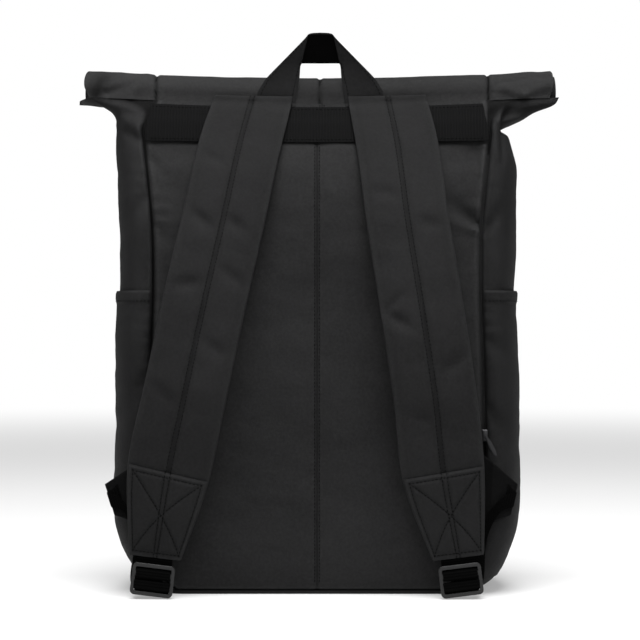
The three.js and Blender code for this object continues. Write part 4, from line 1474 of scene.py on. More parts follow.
@dataclass(frozen=True)
class CarryTop:
    """The webbing band across the top of the back panel and the haul handle."""

    panels: Panels
    lay: float = 0.35 * MM
    seat: float = 0.6 * MM
    width: float = 35 * MM
    drop: float = 38.5 * MM
    thickness: float = 1.4 * MM
    inset: float = 2 * MM
    span: float = 107 * MM
    rise: float = 65 * MM
    tape: float = 2.2 * MM
    aside: float = 3 * MM
    reach: float = 10 * MM
    shape: Profile = Profile(
        ("out_x", "out_z", "in_x", "in_z", "lean"),
        [
            (0.0, 1.0, 0.0, 0.42, 0.0, 0.0), (0.2, 1.05, 0.17, 0.4, 0.14, 0.1),
            (0.37, 0.95, 0.33, 0.365, 0.33, 0.22), (0.43, 0.885, 0.4, 0.35, 0.39, 0.28),
            (0.6, 0.575, 0.66, 0.335, 0.55, 0.5), (0.77, 0.25, 0.93, 0.315, 0.595, 0.8),
            (0.82, 0.19, 0.985, 0.305, 0.6, 0.88), (1.0, 0.0, 1.0, 0.0, 0.6, 1.0),
        ],
    )

    def build(self) -> None:
        """Build the band and the handle with their stitches."""
        self.band()
        self.handle()

    def band(self) -> None:
        """Build the band: ribs across its length and a stitched lower and upper edge."""
        form = self.panels.form
        bottom = form.height - self.drop
        z = np.linspace(bottom, bottom + self.width, 25)[:, None]
        x = np.linspace(-1, 1, 421)[None, :] * (form.seam(z) - self.inset)
        rib = 0.08 * MM * (0.5 + 0.5 * np.cos(2 * np.pi * x / (2.6 * MM)))
        selvedge = 1 - bump(np.minimum(z - bottom, bottom + self.width - z), 1.6 * MM)
        wave = 0.5 * MM * mottle(form.back(x, z), (0.05, 1, 0.2), 5.0, 2)
        near = form.back(x, z, self.seat + self.thickness)
        near[..., 1] -= rib * selvedge + wave
        far = form.back(x, z, self.seat)
        far[..., 1] -= np.minimum(wave, 0.3 * MM)
        slab = Slab(form.settle(near, False), form.settle(far, False), turned=True)
        piece = keep(slab.build("top_band_webbing", BAND_WEBBING), Slot.WEBBING, "top_band")
        rows: list[list[Vector]] = []
        for height in (bottom + 2.4 * MM, bottom + self.width - 2.4 * MM):
            across = np.linspace(-0.146, 0.146, 200)
            path = form.back(across, np.full_like(across, height), 20 * MM)
            rows += lay_on(piece, form.settle(path, False))
        keep(StitchTree().sew("band_stitches", rows, seed=5), Slot.WEBBING)

    def place(self, at: Array, side: Array, across: Array, out: Array) -> Array:
        """Give points on the handle.

        Args:
            at: 0 at a leg's foot to 1 at the middle.
            side: -1 on the left half and 1 on the right one.
            across: 0 at the inner edge to 1 at the outer one.
            out: Distance off its inner face.

        Returns:
            The points.
        """
        form, read = self.panels.form, self.shape.read
        x = side * (read("in_x", at) * (1 - across) + read("out_x", at) * across) * self.span / 2
        bottom = form.height - self.drop + self.width + self.lay
        z = bottom + (read("in_z", at) * (1 - across) + read("out_z", at) * across) * self.rise
        foot = form.back(x, np.minimum(z, form.height), self.lay)[..., 1]
        lean = self.reach * read("lean", at) * across
        x = x + self.aside
        return form.settle(np.stack(np.broadcast_arrays(x, foot - lean - out, z), -1), False)

    def handle(self) -> None:
        """Build the handle: grey folded legs and a hollow grip in a near-black finish, partly its own
        colour and partly painted shade, with a thin light edge.
        """
        share = np.linspace(0, 1, 161)[:, None]
        across = np.linspace(0, 1, 21)[None, :]
        side = np.where(share < 0.5, -1.0, 1.0)
        at = 1 - np.abs(2 * share - 1)
        edge = 0.5 * MM * (bump(across * 25, 1.2) + bump((1 - across) * 25, 1.2))
        grip = smoothstep(at, 0.79, 0.84) * (1 - bump(1 - across, 0.07))
        out = self.tape - edge - 1.5 * MM * grip + 0.7 * MM * bump(at - 0.78, 0.03)
        near = self.place(at, side, across, out)
        far = self.place(at, side, across, 0 * out)
        piece = Slab(near, far).build("haul_handle_tape", HANDLE_CLOTH)
        piece.data.materials.append(TAPE_UNDERSIDE_SHADED.build())
        faces_across = across.shape[1] - 1
        # Grip faces but the upper edge take the near-black finish: the underside's own colour and painted
        # shade.
        dark = (at[:-1] > 0.8) & (across[:, :-1] < 0.94)
        dark = dark | np.zeros((len(share) - 1, faces_across), bool)
        for face, is_dark in zip(piece.data.polygons, dark.reshape(-1)):
            face.material_index = int(is_dark)
        keep(piece, Slot.WEBBING, "haul_handle")
        leg = np.linspace(0.04, 0.76, 70)
        paths = [
            self.place(leg, np.full_like(leg, value), np.full_like(leg, edge_at), 20 * MM)
            for value in (-1.0, 1.0)
            for edge_at in (0.1, 0.9)
        ]
        rows = [run for path in paths for run in lay_on(piece, path)]
        keep(StitchTree().sew("handle_stitches", rows, seed=6), Slot.WEBBING)


@dataclass(frozen=True)
class Dent:
    """A pressed hollow of a strap's padding, in shares along it and across it."""

    along: float
    across: float
    depth: float = 3.2 * MM
    slope: float = 0.03
    span: float = 0.35
    width: float = 0.015

    def read(self, share: Array, across: Array) -> Array:
        """Give the hollow's depth at places on the strap."""
        off = across - self.across
        line = (share - self.along - self.slope * off) / self.width
        return self.depth * np.exp(-(line**2) - (off / self.span) ** 2)


@dataclass(frozen=True)
class ShoulderStrap:
    """One padded shoulder strap with its sewn middle seam and its end patch."""

    side: Side
    form: BagForm = FORM
    top: float = 446 * MM
    end: float = 36 * MM
    width: float = 72 * MM
    thickness: float = 11 * MM
    arch: float = 30 * MM
    seat: float = 3.25 * MM
    lay: float = 0.35 * MM
    patch_top: float = 110.5 * MM
    patch_thickness: float = 1.4 * MM
    groove: float = 2.2 * MM
    most_swell: float = 2.0 * MM
    patch_border: float = 4.2 * MM
    patch_half: float = 0.97
    seam_rows: float = 2.0 * MM
    frames: int = 14
    rows: int = 130
    shape: Profile = Profile(
        ("left", "right", "tilt_left", "tilt_right", "off", "wide", "thick"),
        [
            (0.0, 0.374, 0.413, 0, 0, 0.0, 0.97, 0.5),
            (0.12, 0.453, 0.471, 11, 10, 0.03, 1.0, 0.85),
            (0.28, 0.54, 0.523, 12, 10, 0.36, 1.0, 1.0),
            (0.46, 0.647, 0.597, 12, 9.5, 0.8, 1.0, 1.0),
            (0.66, 0.761, 0.677, 12.5, 9, 1.0, 1.0, 1.0),
            (0.825, 0.857, 0.728, 13, 9.6, 0.93, 0.99, 0.85),
            (1.0, 0.936, 0.817, 7, 7, 0.62, 0.63, 0.45),
        ],
    )
    dents: dict[Side, tuple[Dent, ...]] = field(
        default_factory=lambda: {
            Side.LEFT: (
                Dent(0.294, -0.53),
                Dent(0.29, 0.3),
                Dent(0.43, -0.5, slope=-0.02),
                Dent(0.4, 0.58),
                Dent(0.16, -0.6, 1.8 * MM),
                Dent(0.55, 0.5, 2.2 * MM),
                Dent(0.66, -0.55, 2.0 * MM),
            ),
            Side.RIGHT: (
                Dent(0.49, -0.62, 4.0 * MM, 0.05, 0.28, 0.014),
                Dent(0.455, -0.7, 3.0 * MM, -0.05, 0.3, 0.012),
                Dent(0.3, 0.5, 2.4 * MM),
                Dent(0.22, -0.5, 2.0 * MM),
                Dent(0.6, 0.55, 2.4 * MM, -0.03),
                Dent(0.7, -0.4, 2.0 * MM),
            ),
        }
    )

    def measures(self, share: Array) -> tuple[Array, Array, Array, Array]:
        """Give the strap's middle, width direction, width and thickness.

        Args:
            share: Shares of its length from the top.

        Returns:
            Middle points, directions, widths and thicknesses.
        """
        read, word = self.shape.read, self.side.word
        share = np.asarray(share, dtype=float)
        z = self.top + (self.end - self.top) * share
        x = self.side.value * read(word, share) * self.form.panel / 2
        tilt = np.radians(read(f"tilt_{word}", share))
        thickness = read("thick", share) * self.thickness
        off = self.seat + read("off", share) * self.arch
        panel = self.form.back(x, np.minimum(z, self.form.height))[..., 1]
        middle = np.stack([x, panel - off - thickness / 2, z], -1)
        across = np.stack([np.cos(tilt), 0 * tilt, self.side.value * np.sin(tilt)], -1)
        return middle, across, read("wide", share) * self.width, thickness

    def point(self, share: Array, across: Array, face: int, out: float) -> Array:
        """Give points on the strap.

        Args:
            share: Shares of its length.
            across: -1 at one edge to 1 at the other.
            face: 1 for the outer face and -1 for the one at the wearer's shoulder.
            out: Distance off the face.

        Returns:
            The points.
        """
        share, across = paired(share, across)
        middle, direction, width, thickness = self.measures(share)
        pad = 0.25 + 0.75 * (1 - across**4)
        points = middle + direction * (across * width / 2)[..., None]
        points[..., 1] -= face * (thickness / 2 * pad + out)
        return points

    def build(self) -> None:
        """Build the strap, its patch and their stitches."""
        self.stitches(self.padding(), self.patch())

    def padding(self) -> Piece:
        """Build the padded strap: the sewn cover, filled by a short cloth simulation."""
        share = np.linspace(0, 1, self.rows + 1)[:, None]
        across = np.linspace(-1, 1, 29)[None, :]
        sewn = bump(across * self.width / 2, 2.6 * MM) * smoothstep(share, 0.0, 0.02)
        faces = []
        for face in (1, -1):
            points = self.point(share, across, face, 0.0)
            depth = self.groove if face == 1 else 0.6 * self.groove
            soft = 1.3 * MM * mottle(points, (0.07, 0.5, 0.035), 41.0 + self.side.value, 3)
            hollow = sum(dent.read(share, across) for dent in self.dents[self.side])
            lift = (soft - (hollow if face == 1 else 0.0)) * (1 - sewn) * (1 - across**6)
            bound = 0.5 * MM * bump((1 - np.abs(across)) * self.width / 2 - 4.5 * MM, 1.4 * MM)
            points[..., 1] -= face * (lift * (1 - smoothstep(share, 0.76, 0.84)) - depth * sewn - bound)
            faces.append(self.form.settle(points, False))
        name = f"shoulder_strap_{self.side.word}"
        # Rubbed edges, and painted shade along the sewn middle seam.
        wear_and_painted_light = 0.75 * bump(1 - np.abs(across + 0 * share), 0.07) - 0.5 * bump(across, 0.02)
        piece = Slab(faces[0], faces[1], wear_and_painted_light).build(f"{name}_padding", STRAP_CLOTH, 70.0)
        self.fill(piece, share, across)
        subdivide(piece)
        keep(piece, Slot.STRAP, name)
        return piece

    def fill(self, piece: Piece, share: Array, across: Array) -> None:
        """Fill the cover by cloth simulation, held at its seams and ends.

        Args:
            piece: The strap's cover.
            share: Shares of its rows.
            across: Its columns from edge to edge.
        """
        held = np.maximum(bump(across * self.width / 2, 1.2 * MM), bump(1 - np.abs(across), 0.05))
        held = np.maximum(held + 0 * share, bump(share, 0.02))
        held = np.maximum(held, smoothstep(share, 0.8, 0.85))
        weights = np.concatenate([held.reshape(-1)] * 2)
        group = piece.vertex_groups.new(name="held")
        for index, weight in enumerate(weights):
            if weight > 0.03:
                group.add([index], float(weight), "REPLACE")
        before = points_of(piece.data)
        cloth = piece.modifiers.new("Filling", "CLOTH")
        settings = cloth.settings
        settings.quality = 5
        settings.mass = 0.3
        settings.vertex_group_mass = "held"
        settings.use_pressure = True
        settings.uniform_pressure_force = 2.0
        settings.shrink_min = 0.0
        settings.tension_stiffness = 15
        settings.compression_stiffness = 15
        settings.bending_stiffness = 3.0
        settings.effector_weights.gravity = 0.0
        cloth.collision_settings.use_collision = False
        scene = bpy.context.scene
        cloth.point_cache.frame_start, cloth.point_cache.frame_end = 1, self.frames
        for number in range(1, self.frames + 1):
            scene.frame_set(number)
        settled(piece)
        scene.frame_set(1)
        move = points_of(piece.data) - before
        length = np.linalg.norm(move, axis=1, keepdims=True)
        LOG.info("%s swells %.1f mm before the cap", piece.name, 1000 * length.max())
        capped = before + move * np.minimum(1.0, self.most_swell / np.maximum(length, 1e-9))
        set_points(piece.data, capped)

    @property
    def patch_start(self) -> float:
        """Share of the strap's length where its patch starts."""
        return (self.top - self.patch_top) / (self.top - self.end)

    def crosses(self, inset: float) -> list[tuple[tuple[float, float], tuple[float, float]]]:
        """Give the patch's sewn lines: its border, its diagonals and the middle rows.

        Args:
            inset: Distance of the border from the patch's edge.

        Returns:
            The lines' ends, in shares along the strap and across it.
        """
        first = self.patch_start
        step = inset / (self.top - self.end)
        low, high = first + step, 1 - step
        side = self.patch_half - inset / (self.width / 2)
        corners = [(low, -side), (low, side), (high, side), (high, -side), (low, -side)]
        lines = list(zip(corners, corners[1:]))
        lines += [(corners[0], corners[2]), (corners[1], corners[3])]
        return lines + [((first, shift), (1.0, shift)) for shift in (-0.064, 0.064)]

    def patch(self) -> Piece:
        """Build the end patch on the strap's outer face, drawn in along its sewn lines."""
        first = self.patch_start
        share = np.linspace(first, 1, 73)[:, None]
        across = np.linspace(-self.patch_half, self.patch_half, 79)[None, :]
        near = self.point(share, across, 1, self.lay + self.patch_thickness)
        far = self.point(share, across, 1, self.lay)
        length = self.top - self.end
        edge = (self.patch_half - np.abs(across)) * self.width / 2 + 0 * share
        edge = np.minimum(edge, np.minimum(share - first, 1 - share) * length)
        sewn = np.zeros(edge.shape)
        for (share_a, across_a), (share_b, across_b) in self.crosses(self.patch_border):
            run = np.array([(share_b - share_a) * length, (across_b - across_a) * self.width / 2])
            right = (share - share_a) * length
            up = (across - across_a) * self.width / 2
            held = np.clip((right * run[0] + up * run[1]) / run.dot(run), 0, 1)
            off = np.hypot(right - held * run[0], up - held * run[1])
            sewn = np.maximum(sewn, bump(off, 1.5 * MM))
        puff = 1.2 * MM * (1 - bump(edge, 2.2 * MM)) - 1.0 * MM * sewn
        puff = puff + 0.3 * MM * mottle(near, (0.03, 1, 0.02), 51.0, 2)
        near[..., 1] -= puff
        name = f"strap_patch_{self.side.word}"
        wear_and_painted_light = 0.9 * bump(edge - 1.2 * MM, 1.3 * MM)
        piece = Slab(near, far, wear_and_painted_light).build(f"{name}_cloth", STRAP_CLOTH)
        return keep(piece, Slot.CLOTH, name)

    def stitches(self, strap: Piece, patch: Piece) -> None:
        """Sew the middle seam's two rows, and the patch's border and crossed rows."""
        share = np.linspace(0.006, 0.815, 330)
        rows: list[list[Vector]] = []
        for offset in (-self.seam_rows, self.seam_rows):
            rows += lay_on(strap, self.point(share, offset / (self.width / 2), 1, 0.03), 0.15 * MM)
        word = self.side.word
        keep(StitchTree().sew(f"strap_stitches_{word}", rows, seed=8), Slot.STRAP)
        rows = []
        t = np.linspace(0, 1, 60)
        for (share_a, across_a), (share_b, across_b) in self.crosses(self.patch_border):
            path = self.point(
                share_a + (share_b - share_a) * t, across_a + (across_b - across_a) * t, 1, 0.03
            )
            rows += lay_on(patch, path, 0.15 * MM)
        keep(StitchTree().sew(f"patch_stitches_{word}", rows, seed=9), Slot.CLOTH)


def rounded_corners(
    left: float, bottom: float, width: float, height: float, corner: float, steps: int = 5
) -> list[tuple[float, float]]:
    """Give the outline of a rectangle with rounded corners."""
    outline = []
    centres = [
        (left + width - corner, bottom + height - corner, 0),
        (left + corner, bottom + height - corner, 90),
        (left + corner, bottom + corner, 180),
        (left + width - corner, bottom + corner, 270),
    ]
    for x, z, start in centres:
        for step in range(steps + 1):
            turn = math.radians(start + 90 * step / steps)
            outline.append((x + corner * math.cos(turn), z + corner * math.sin(turn)))
    return outline


def moulded_plate(
    name: str,
    outlines: Sequence[Sequence[tuple[float, float]]],
    thickness: float,
    bevel: float,
    place: Callable[[Array], Array],
) -> Piece:
    """Make a flat plate with rounded edges from outlines, the later ones its holes.

    Args:
        name: Piece name.
        outlines: Closed outlines in the plate's plane.
        thickness: Its thickness.
        bevel: Radius of its edges.
        place: Turns points (across, through, up) into the bag's frame.

    Returns:
        The piece.
    """
    curve = bpy.data.curves.new(name, "CURVE")
    curve.dimensions = "2D"
    curve.fill_mode = "BOTH"
    curve.extrude = (thickness / 2 - bevel) / MM
    curve.bevel_depth = bevel / MM
    curve.bevel_resolution = 3
    curve.offset = -bevel / MM
    for outline in outlines:
        spline = curve.splines.new("POLY")
        spline.points.add(len(outline) - 1)
        spline.use_cyclic_u = True
        for point, (x, z) in zip(spline.points, outline):
            point.co = (x / MM, z / MM, 0.0, 1.0)
    holder = linked(f"{name}_outline", curve)
    mesh = evaluated_mesh(holder)
    bpy.data.objects.remove(holder)
    flat = points_of(mesh) * MM
    moved = place(np.stack([flat[:, 0], -flat[:, 2], flat[:, 1]], -1))
    set_points(mesh, moved)
    shell = bmesh.new()
    shell.from_mesh(mesh)
    bmesh.ops.remove_doubles(shell, verts=shell.verts, dist=1e-6)
    bmesh.ops.recalc_face_normals(shell, faces=shell.faces)
    shell.to_mesh(mesh)
    shell.free()
    return add_object(name, mesh, PLASTIC, 40.0)


@dataclass(frozen=True)
class LadderLock:
    """The buckle at a strap's end with the webbing threaded through it and on to the wing."""

    strap: ShoulderStrap
    wing: AnchorWing
    width: float = 37 * MM
    rim: float = 3.6 * MM
    bar: float = 4 * MM
    slot: float = 3.6 * MM
    middle_slot: float = 5.6 * MM
    thickness: float = 3 * MM
    corner: float = 4 * MM
    slot_corner: float = 0.8 * MM
    tilt: float = 7.0
    clearance: float = 0.4 * MM
    lay: float = 0.35 * MM
    webbing: float = 30 * MM
    webbing_thickness: float = 1.4 * MM
    strap_end: float = 34 * MM
    bevel: float = 0.7 * MM

    @property
    def height(self) -> float:
        """The buckle's height."""
        return 2 * (self.rim + self.slot + self.bar) + self.middle_slot

    def place(self, points: Array) -> Array:
        """Turn points of the buckle's own frame into the bag's.

        Args:
            points: Across, towards the bag and up, on the last axis.

        Returns:
            The points in the bag's frame.
        """
        sign, turn = self.strap.side.value, math.radians(self.tilt)
        middle, _, _, thickness = self.strap.measures(np.array(1.0))
        rise = self.width / 2 * math.sin(turn) + self.height / 2 * math.cos(turn)
        back = self.thickness / 2 + self.lay + self.webbing_thickness / 2
        z = rise + self.clearance
        drop = (self.strap_end - z) * math.tan(turn)
        centre = np.array([middle[0] + sign * drop, middle[1] - back - thickness / 6, z])
        rotation = np.array(Matrix.Rotation(-sign * turn, 3, "Y"))
        return np.asarray(points) @ rotation.T + centre

    def build(self) -> None:
        """Build the buckle and its two webbings."""
        name = self.strap.side.word
        bottom = -self.height / 2 + self.rim
        outlines = [
            rounded_corners(-self.width / 2, -self.height / 2, self.width, self.height, self.corner)
        ]
        wide = self.webbing + 2 * self.lay
        slots = (
            (bottom, self.slot),
            (-self.middle_slot / 2, self.middle_slot),
            (-bottom - self.slot, self.slot),
        )
        for low, high in slots:
            outlines.append(rounded_corners(-wide / 2, low, wide, high, self.slot_corner, 3))
        piece = moulded_plate(
            f"ladder_lock_{name}_frame", outlines, self.thickness, self.bevel, self.place
        )
        keep(piece, Slot.PLASTIC, f"ladder_lock_{name}")
        self.loop()
        self.adjuster()

    def around(self, up: int) -> Array:
        """Give the webbing's route round the upper or the lower bar, from its own end and back."""
        lay = self.lay + self.webbing_thickness / 2
        face = self.thickness / 2
        behind = face + lay + self.webbing_thickness + self.lay
        inner = self.middle_slot / 2
        outer = inner + self.bar
        rim = outer + self.slot
        route = [
            (face + lay, rim + self.rim),
            (face + lay, rim + self.rim / 2),
            (face + 0.9 * lay, rim - 0.4 * lay),
            (face, rim - 1.35 * lay),
            (0, rim - self.slot / 2),
            (-face, outer + 1.25 * lay),
            (-face - 0.95 * lay, outer + 0.2 * lay),
            (-face - lay, (inner + outer) / 2),
            (-face - 0.95 * lay, inner - 0.2 * lay),
            (-face, inner - 1.25 * lay),
            (0, inner - 1.45 * lay),
            (face, inner - 1.25 * lay),
            (face + 0.95 * lay, inner - 0.2 * lay),
            (face + 1.1 * lay, (inner + outer) / 2),
            (face + 1.7 * lay, outer + 0.2 * lay),
            (behind, rim - 1.2 * lay),
            (behind, rim + self.rim / 2),
            (behind, rim + self.rim),
        ]
        return np.array([(0.0, back, up * z) for back, z in route])

    def direction(self) -> Array:
        """Give the buckle's own across direction."""
        ends = self.place(np.array([(0.0, 0.0, 0.0), (1.0, 0.0, 0.0)]))
        return ends[1] - ends[0]

    def loop(self) -> None:
        """Build the webbing that joins the strap's end to the upper bar."""
        route = self.around(1)
        first, last = route[0] + (0, 0, 7 * MM), route[-1] + (0, 0, 9 * MM)
        points = self.place(np.concatenate([[first], route, [last]]))
        across = np.broadcast_to(self.direction(), points.shape)
        name = f"buckle_loop_{self.strap.side.word}"
        slab = Route(points, across).ribbon(self.webbing, self.webbing_thickness, 150)
        keep(slab.build(f"{name}_webbing", WEBBING), Slot.WEBBING, name)

    def adjuster(self) -> None:
        """Build the webbing that leaves the lower bar for the wing."""
        sign = self.strap.side.value
        reach = self.wing.thickness + 0.6 * MM + self.webbing_thickness / 2
        route = self.around(-1)[1:-2]
        leaving = self.place(np.array([[sign * 6 * MM, 11 * MM, -2.8 * MM]]))[0]
        on_wing = [self.wing.point(0.5, away, reach) for away in (1.0, 0.86, 0.72)]
        bend = on_wing[0] + np.array([-sign * 10, -3, -3]) * MM
        half = (leaving + bend) / 2 + np.array([-sign * 5, 3, 3]) * MM
        points = np.concatenate([self.place(route), [leaving, half, bend], on_wing])
        along = self.direction()
        top, bottom = self.wing.tip()
        tip = (bottom - top) / np.linalg.norm(bottom - top) * sign
        turning = [along + (tip - along) * t for t in (0.15, 0.55)]
        across = np.array([along] * len(route) + turning + [tip] * 4)
        name = f"adjust_webbing_{self.strap.side.word}"
        pinch = Profile(("wide",), [(0.0, 1.0), (0.72, 1.0), (0.83, 0.5), (0.93, 0.5), (1.0, 0.8)])
        slab = Route(points, across).ribbon(self.webbing, self.webbing_thickness, 190, pinch)
        keep(slab.build(f"{name}_webbing", WEBBING), Slot.WEBBING, name)


@dataclass(frozen=True)
class SeamZip:
    """The zip in the right side seam: its tape, teeth, slider and puller."""

    panels: Panels
    top: float = 388 * MM
    bottom: float = 135 * MM
    width: float = 5 * MM
    thickness: float = 1.4 * MM
    seat: float = -1.2 * MM
    slider_width: float = 8 * MM
    slider_length: float = 11 * MM
    slider_thickness: float = 3 * MM
    puller_width: float = 4 * MM
    puller_length: float = 20 * MM
    puller_thickness: float = 1.6 * MM
    lean: float = 28.0

    def place(self, across: Array, z: Array, out: Array | float) -> Array:
        """Give points over the seam: across it, at a height, off it."""
        form = self.panels.form
        across, z = paired(across, z)
        seam = form.seam(z)
        y = form.back(seam, z)[..., 1] - out
        return form.settle(np.stack([seam + across, y, z], -1))

    def build(self) -> None:
        """Build the tape with its teeth, then the slider and the puller."""
        z = np.linspace(self.bottom, self.top, 200)[:, None]
        across = np.linspace(-0.5, 0.5, 13)[None, :] * self.width
        dip = 0.9 * MM * bump(across, 1.3 * MM)
        near = self.place(across, z, self.seat - dip)
        far = self.place(across, z, self.seat - self.thickness)
        slab = Slab(near, far)
        keep(slab.build("zip_strip_tape", HANDLE_CLOTH), Slot.WEBBING, "zip_strip")
        along = np.linspace(self.bottom, self.top, 260)
        teeth = self.place(0 * along, along, self.seat - 0.2 * MM)
        sewn = StitchTree().sew(
            "zip_teeth", as_rows(teeth), DARK_TEETH, 1.7 * MM, 1.2 * MM, 0.7 * MM, 14
        )
        keep(sewn, Slot.METAL)
        self.slider()
        self.puller()

    def slider(self) -> None:
        """Build the slider's rounded body."""
        share = np.linspace(0, 1, 17)[:, None]
        across = np.linspace(-1, 1, 17)[None, :]
        z = self.bottom + share * self.slider_length
        wide = self.slider_width / 2 * (0.7 + 0.3 * share)
        crown = 1 - 0.6 * np.abs(across) ** 4 - 0.5 * np.abs(2 * share - 1) ** 6
        low = self.seat + 0.8 * MM
        near = self.place(across * wide, z, low + self.slider_thickness * np.maximum(crown, 0.1))
        far = self.place(across * wide, z, low)
        slab = Slab(near, far)
        keep(slab.build("zip_slider_body", NICKEL, 40.0), Slot.METAL, "zip_slider")

    def puller(self) -> None:
        """Build the puller: a thin leaf that hangs out to the right."""
        turn = math.radians(self.lean)
        out = self.seat + self.slider_thickness + 1.6 * MM
        hang = self.place(0.0, self.bottom + self.slider_length / 2, out)
        share = np.linspace(0, 1, 25)[:, None]
        across = np.linspace(-1, 1, 9)[None, :]
        round_end = np.sqrt(np.maximum(0.12, 1 - np.maximum(0, (share - 0.85) / 0.15) ** 2))
        wide = self.puller_width / 2 * (0.55 + 0.45 * smoothstep(share, 0.1, 0.4)) * round_end
        down, aside = share * self.puller_length, across * wide
        x = hang[0] + down * math.sin(turn) + aside * math.cos(turn)
        z = hang[2] - down * math.cos(turn) + aside * math.sin(turn)
        edge = 0.3 * MM * np.abs(across) ** 3
        y = hang[1] + 0 * x
        near = np.stack([x, y - self.puller_thickness + edge, z], -1)
        far = np.stack([x, y, z], -1)
        piece = Slab(near, far).build("zip_puller_leaf", NICKEL, 40.0)
        keep(piece, Slot.METAL, "zip_puller")


@dataclass(frozen=True)
class FrontClosure:
    """The strap from the roll down the front panel, its clasp and its anchor."""

    panels: Panels
    roll: RolledMouth
    width: float = 25 * MM
    thickness: float = 1.4 * MM
    seat: float = 0.8 * MM
    low: float = 335 * MM
    high: float = 387 * MM
    anchor: float = 45 * MM
    clasp_width: float = 32 * MM
    clasp_height: float = 40 * MM
    clasp_thickness: float = 6 * MM
    bevel: float = 1.4 * MM
    turns_at: tuple[float, ...] = (7 / 36, 8 / 36, 9 / 36)

    def build(self) -> None:
        """Build the strap, the anchor and the clasp."""
        form, roll = self.panels.form, self.roll
        lift = self.seat + self.thickness / 2
        points = []
        for share in self.turns_at:
            turn = 2 * math.pi * roll.turns * (share - roll.rise_share) / (1 - roll.rise_share)
            pitch = form.throat + roll.gap
            radius = roll.radius - pitch * turn / (2 * math.pi) + form.throat / 2 + lift
            y = float(form.mid(form.height)) + roll.radius - radius * math.cos(turn)
            z = form.height + roll.rise + radius * math.sin(turn)
            points.append((0.0, y, z))
        heights = np.linspace(self.high, self.low, 6)
        below = form.front(0 * heights, heights, lift + 0.6 * MM)
        points = form.settle(np.concatenate([np.array(points), below]))
        across = np.broadcast_to((1.0, 0.0, 0.0), points.shape)
        slab = Route(points, across).ribbon(self.width, self.thickness, 90)
        keep(slab.build("closure_strap_webbing", WEBBING), Slot.WEBBING, "closure_strap")
        z = np.linspace(self.low - 0.35 * MM - self.anchor, self.low - 0.35 * MM, 50)[:, None]
        x = np.linspace(-0.5, 0.5, 15)[None, :] * self.width
        near = form.front(x, z, self.seat + self.thickness + 0.6 * MM)
        far = form.front(x, z, self.seat + 0.3 * MM)
        slab = Slab(near, far)
        keep(slab.build("closure_anchor_webbing", WEBBING), Slot.WEBBING, "closure_anchor")
        middle = form.front(0.0, self.low)[1] + self.seat + 1.75 * MM + self.clasp_thickness / 2

        def place(points: Array) -> Array:
            """Stand the clasp on the strap."""
            return points + np.array([0.0, middle + 0.6 * MM, self.low])

        width, height = self.clasp_width, self.clasp_height
        outlines = [rounded_corners(-width / 2, -height / 2, width, height, 5 * MM)]
        for low in (-11 * MM, 6 * MM):
            outlines.append(rounded_corners(-9 * MM, low, 18 * MM, 5 * MM, 1.5 * MM, 3))
        piece = moulded_plate("closure_clasp_plate", outlines, self.clasp_thickness, self.bevel, place)
        keep(piece, Slot.PLASTIC, "closure_clasp")


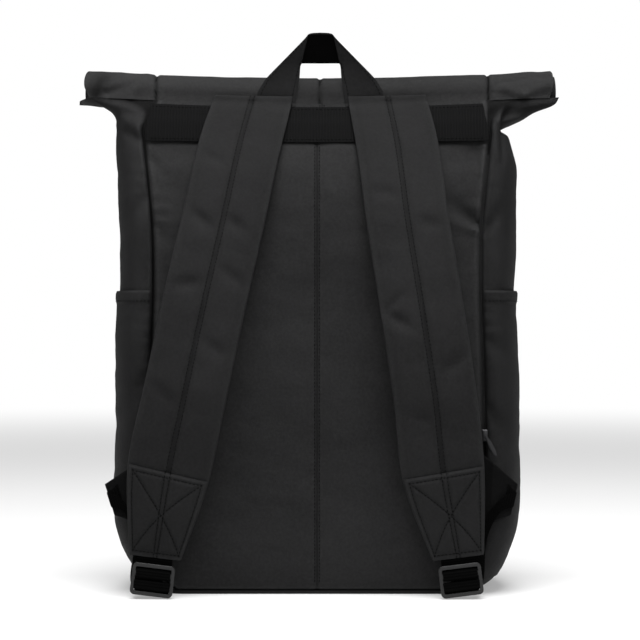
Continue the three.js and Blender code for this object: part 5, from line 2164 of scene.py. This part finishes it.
@dataclass(frozen=True)
class Studio:
    """Pale floor, white surroundings, soft light and the photograph's camera."""

    distance: float = 1.8
    height: float = 0.242
    aside: float = 2.6 * MM
    pixel: float = 0.88 * MM
    image: int = 640
    sensor: float = 36.0
    back_plane: float = -57.5 * MM
    ambient: float = 0.2
    lamps: tuple[tuple[str, tuple[float, float, float], float, float], ...] = (
        ("top_light", (0.0, -0.75, 2.3), 1.5, 112.0),
        ("front_light", (0.3, -3.2, 1.2), 1.8, 27.0),
        ("right_light", (2.3, -1.4, 1.1), 1.2, 5.0),
    )

    def build(self) -> None:
        """Build the whole studio."""
        bpy.context.scene.view_settings.view_transform = "Standard"
        self.floor()
        self.surroundings()
        for name, place, size, power in self.lamps:
            self.softbox(name, place, size, power)
        self.camera()

    def floor(self) -> None:
        """Build the floor."""
        mesh = bpy.data.meshes.new("floor")
        reach = 14.0
        corners = [(-reach, -reach, 0), (reach, -reach, 0), (reach, reach, 0), (-reach, reach, 0)]
        mesh.from_pydata(corners, [], [(0, 1, 2, 3)])
        add_object("floor", mesh, FLOOR)

    def surroundings(self) -> None:
        """Show white surroundings, which light the scene more weakly."""
        world = bpy.data.worlds.new("white_room")
        world.use_nodes = True
        tree = world.node_tree
        ground = tree.nodes["Background"]
        ground.inputs["Color"].default_value = (1.0, 1.0, 1.0, 1.0)
        ground.inputs["Strength"].default_value = self.ambient
        plain = add_node(tree, "ShaderNodeBackground", Color=(1.0, 1.0, 1.0, 1.0), Strength=1.0)
        path = tree.nodes.new("ShaderNodeLightPath")
        chosen = tree.nodes.new("ShaderNodeMixShader")
        tree.links.new(path.outputs["Is Camera Ray"], chosen.inputs[0])
        tree.links.new(ground.outputs[0], chosen.inputs[1])
        tree.links.new(plain.outputs[0], chosen.inputs[2])
        tree.links.new(chosen.outputs[0], tree.nodes["World Output"].inputs[0])
        bpy.context.scene.world = world

    def softbox(self, name: str, place: tuple[float, float, float], size: float, power: float) -> None:
        """Add a soft area light aimed at the bag.

        Args:
            name: Light name.
            place: Where it stands.
            size: Width of its square.
            power: Watts.
        """
        light = bpy.data.lights.new(name, "AREA")
        light.size = size
        light.energy = power
        lamp = linked(name, light)
        lamp.location = place
        aim = Vector((0.0, 0.0, 0.25)) - Vector(place)
        lamp.rotation_euler = aim.to_track_quat("-Z", "Y").to_euler()

    def camera(self) -> None:
        """Add the camera, level with the middle of the photograph."""
        data = bpy.data.cameras.new("camera")
        data.sensor_width = self.sensor
        data.lens = self.sensor * self.distance / (self.image * self.pixel)
        data.clip_end = 100.0
        camera = linked("camera", data)
        camera.location = (self.aside, self.back_plane - self.distance, self.height)
        camera.rotation_euler = (math.pi / 2, 0.0, 0.0)
        bpy.context.scene.camera = camera


def main() -> None:
    """Build the bag, its straps and its trim, then the floor, the light and the camera."""
    logging.basicConfig(level=logging.INFO, format="%(message)s")
    panels = Panels()
    panels.build()
    panels.stitches()
    roll = RolledMouth()
    roll.build()
    CarryTop(panels).build()
    for side in Side:
        SidePocket(side, panels).build()
        wing = AnchorWing(side, panels)
        wing.build()
        strap = ShoulderStrap(side)
        strap.build()
        LadderLock(strap, wing).build()
    SeamZip(panels).build()
    FrontClosure(panels, roll).build()
    Studio().build()


if __name__ == "__main__":
    main()
